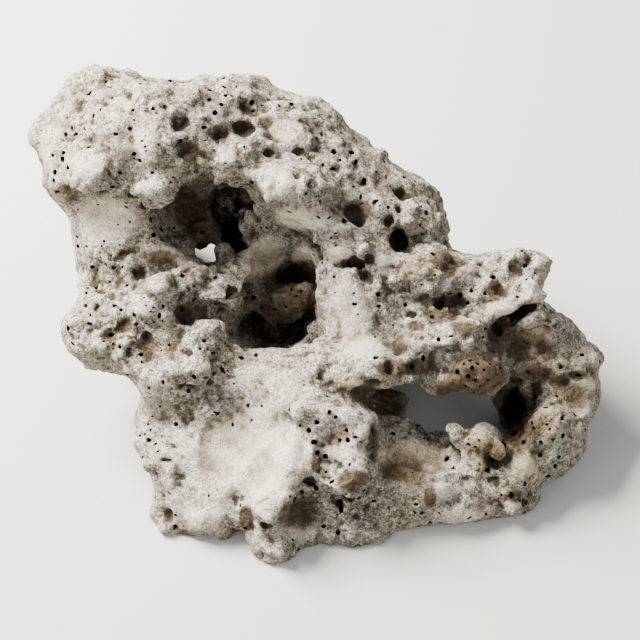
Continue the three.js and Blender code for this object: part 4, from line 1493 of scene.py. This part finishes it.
@dataclass(frozen=True)
class LimestoneFinish:
    """Dry reef limestone: chalk-pale, sandy, stained and full of pores, with painted highlight and
    painted shade.

    Attributes:
        cream: the stone's common colour.
        grey: its cooler patches.
        chalk: its palest places, chalk on the stone and the painted highlight on its lit sides.
        sand: its warm, calm places.
        brown: its brown stains, and the painted shade in its caves, under its overhangs and in shaded
            hollows.
        ochre: its yellow-brown stains.
        beige: the paler parts of those.
        pink: its rosy places.
        green: its faint green growth.
        red: its few dots of red.
        soil_and_shade: dirt in its specks, and painted shade with dirt in its creases, hollows and caves.
        pore_shade: the painted shade deep inside its pores.
    """

    cream: Colour = (0.39, 0.335, 0.245)
    grey: Colour = (0.26, 0.238, 0.185)
    chalk: Colour = (0.84, 0.79, 0.70)
    sand: Colour = (0.84, 0.72, 0.56)
    brown: Colour = (0.06, 0.042, 0.025)
    ochre: Colour = (0.30, 0.22, 0.125)
    beige: Colour = (0.56, 0.45, 0.30)
    pink: Colour = (0.46, 0.36, 0.31)
    green: Colour = (0.34, 0.38, 0.28)
    red: Colour = (0.16, 0.035, 0.03)
    soil_and_shade: Colour = (0.06, 0.045, 0.028)
    pore_shade: Colour = (0.012, 0.009, 0.007)

    def dress(self, piece: bpy.types.Object) -> None:
        """Gives a piece this finish.

        Args:
            piece: the stone.
        """
        recipe = Recipe("reef_limestone", self.cream)
        on = Patterns(recipe)
        self._lay_tones_and_highlight(recipe, on)
        self._stain(recipe, on)
        self._lay_soil_and_shade(recipe, on)
        height = 0.9 * on.rough + 0.8 * on.speck + 0.7 * on.grain - 0.5 * on.pepper - 0.35 * on.groove
        recipe.raised(height, distance=3.0, strength=1.0)
        piece.data.materials.clear()
        recipe.finish(piece, roughness=0.95, shine=0.15)

    def _lay_tones_and_highlight(self, recipe: Recipe, on: Patterns) -> None:
        """Lays on the stone's own colours, grey, sand where it is calm and chalk, and a painted highlight
        on the sides that face the light.

        Args:
            recipe: the stone's material.
            on: its patterns.
        """
        recipe.lay(on.broad.between(0.4, 0.6), self.grey)
        recipe.lay((on.calm * 1.1 + on.patch * 0.3).between(0.25, 0.9), self.sand)
        # pale: chalk spots plus a painted highlight on the sides facing the light, lowered by painted
        # shade in creases and hidden places
        pale = on.chalk_and_highlight * 0.6 + recipe.painted("painted_highlight") * 0.75
        pale = pale + on.patch * 0.9 - on.crease * 0.9 - on.hidden * 0.8
        recipe.lay(pale.between(0.6, 1.35) * (0.72 + on.speck * 0.3), self.chalk)
        recipe.lay(on.speck.between(0.5, 0.68) * 0.55, self.chalk)
        recipe.lay(on.grain.between(0.55, 0.68) * 0.5, self.chalk)

    def _stain(self, recipe: Recipe, on: Patterns) -> None:
        """Lays on the stains, whose edges the patches break up; the brown ones are also painted shade in
        caves and undersides.

        Args:
            recipe: the stone's material.
            on: its patterns.
        """
        # mottle: noise, and darker within the stains in creases, as dirt and painted shade
        mottle = (on.blot * 0.6 + on.speck * 0.5 - on.crease * 0.3).between(0.62, 0.46)
        for kind, shade, strength in (
            (Stain.PINK, self.pink, 0.7),
            (Stain.OCHRE, recipe.mixed(mottle, self.beige, self.ochre), 0.9),
            (Stain.BROWN, recipe.mixed(mottle * 0.35 + 0.65, self.ochre, self.brown), 0.98),
            (Stain.GREEN, self.green, 0.75),
        ):
            amount = recipe.painted(kind.value) * (0.7 + on.patch * 1.4) + (on.patch - 0.5) * 0.4
            recipe.lay(amount.between(0.15, 0.95) * strength, shade)

    def _lay_soil_and_shade(self, recipe: Recipe, on: Patterns) -> None:
        """Lays on dirt in specks, painted shade with dirt in creases, hollows and caves, the red dots and
        painted shade deep in the pores.

        Args:
            recipe: the stone's material.
            on: its patterns.
        """
        clean = (1 - 0.6 * on.chalk_and_highlight) * (1 - 0.6 * on.calm)
        sunken_shade = on.crease * 0.35 + recipe.painted("hollow") * 1.6 + (0.5 - on.blot) * 0.6
        recipe.lay((1 - on.blot).between(0.48, 0.72) * (1 - on.calm) * 0.4, self.soil_and_shade)
        recipe.lay((1 - on.speck).between(0.5, 0.65) * clean * 0.66, self.soil_and_shade)
        recipe.lay((1 - on.grain).between(0.52, 0.66) * clean * 0.66, self.soil_and_shade)
        # painted shade with dirt where the stone is hidden from the open and in its hollows
        recipe.lay((on.hidden * 1.15 + sunken_shade * (1 - 0.7 * on.calm)).between(0.2, 1.0) * 0.92, self.soil_and_shade)
        # painted shade with dirt in the creases
        recipe.lay(on.crease.between(0.05, 0.45) * (0.82 - 0.4 * on.calm), self.soil_and_shade)
        recipe.lay(recipe.painted(Stain.RED.value).between(0.4, 0.7) * 0.85, self.red)
        recipe.lay(on.groove.clamped() * 0.36, self.soil_and_shade)
        recipe.lay(on.pepper * 0.85, self.soil_and_shade)
        # painted shade deep inside the pores
        recipe.lay(recipe.painted("pore_shade").between(0.1, 0.6) * 0.96, self.pore_shade)


@dataclass(frozen=True)
class PaperFinish:
    """The plain pale floor.

    Attributes:
        shade: its colour.
    """

    shade: Colour = (0.475, 0.471, 0.451)

    def dress(self, piece: bpy.types.Object) -> None:
        """Gives the floor its plain finish."""
        Recipe("pale_paper", self.shade).finish(piece, roughness=0.9, shine=0.1)


# ------------------------------------------------------------------------------------------
# Studio
# ------------------------------------------------------------------------------------------


@dataclass(frozen=True)
class Lamp:
    """A soft box.

    Attributes:
        name: its name.
        place: where it stands, in metres.
        side: the length of its side, in metres.
        power: its power in watts.
        tint: its colour.
        aim: what it looks at, in metres.
    """

    name: str
    place: tuple[float, float, float]
    side: float
    power: float
    tint: Colour = (1.0, 1.0, 1.0)
    aim: tuple[float, float, float] = (0.0, 0.0, 0.05)

    def build(self) -> bpy.types.Object:
        """Sets the lamp up.

        Returns:
            The lamp.
        """
        light = bpy.data.lights.new(self.name, "AREA")
        light.shape = "SQUARE"
        light.size = self.side
        light.energy = self.power
        light.color = self.tint
        lamp = bpy.data.objects.new(self.name, light)
        bpy.context.scene.collection.objects.link(lamp)
        lamp.location = self.place
        look = Vector(self.aim) - Vector(self.place)
        lamp.rotation_euler = look.to_track_quat("-Z", "Y").to_euler()
        return lamp


@dataclass
class Studio:
    """The floor, the lamps and the camera.

    Attributes:
        face: the stone's face, which the camera looks straight at.
        lens: the camera's focal length in millimetres.
        sensor: the width of its sensor in millimetres.
        floor_side: the side of the floor, in metres.
        sky: strength of the even light from all round.
        lamps: its soft boxes.
    """

    face: Face
    lens: float = 120.0
    sensor: float = 36.0
    floor_side: float = 8.0
    sky: float = 0.54
    lamps: tuple[Lamp, ...] = (
        Lamp("key_lamp", (-0.74, 0.46, 0.88), 0.7, 148, (1.0, 0.95, 0.86)),
        Lamp("left_fill", (-1.1, -0.9, 0.35), 0.9, 20, (1.0, 0.97, 0.92)),
        Lamp("right_fill", (1.2, -0.4, 0.6), 1.0, 10, (0.96, 0.98, 1.0)),
    )

    def build(self) -> None:
        """Lays the floor, sets the lamps up and places the camera."""
        self._lay_floor()
        for lamp in self.lamps:
            lamp.build()
        self._light_sky()
        self._place_camera()

    def _lay_floor(self) -> None:
        """Lays the plain pale floor under the stone."""
        bpy.ops.object.select_all(action="DESELECT")
        bpy.ops.mesh.primitive_plane_add(size=self.floor_side)
        floor = bpy.context.object
        floor.name = "floor"
        PaperFinish().dress(floor)

    def _light_sky(self) -> None:
        """Gives the room its even light."""
        world = bpy.data.worlds.new("room")
        world.use_nodes = True
        air = world.node_tree.nodes["Background"]
        air.inputs["Color"].default_value = (0.97, 0.98, 1.0, 1.0)
        air.inputs["Strength"].default_value = self.sky
        bpy.context.scene.world = world

    def _place_camera(self) -> None:
        """Places the camera straight over the stone's face."""
        camera = bpy.data.objects.new("camera", bpy.data.cameras.new("camera"))
        bpy.context.scene.collection.objects.link(camera)
        camera.data.lens = self.lens
        camera.data.sensor_width = self.sensor
        place = self.face.point(0, 0, self.face.eye)
        camera.location = place
        look = self.face.point(0, 0, 0) - place
        camera.rotation_euler = look.to_track_quat("-Z", "Y").to_euler()
        bpy.context.scene.camera = camera


def main() -> None:
    """Builds the stone and its studio, and reports each piece."""
    logging.basicConfig(level=logging.INFO, format="%(name)s: %(message)s")
    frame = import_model()
    bpy.ops.object.select_all(action="DESELECT")
    face = Face()
    piece = Stone(face=face, cad=frame["nodes"][NODE]).build()
    LimestoneFinish().dress(piece)
    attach(piece, "root")
    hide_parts(NODE)
    LOG.info("%s: %d triangles", piece.name, triangles_of(piece.data))
    Studio(face=face).build()


if __name__ == "__main__":
    main()
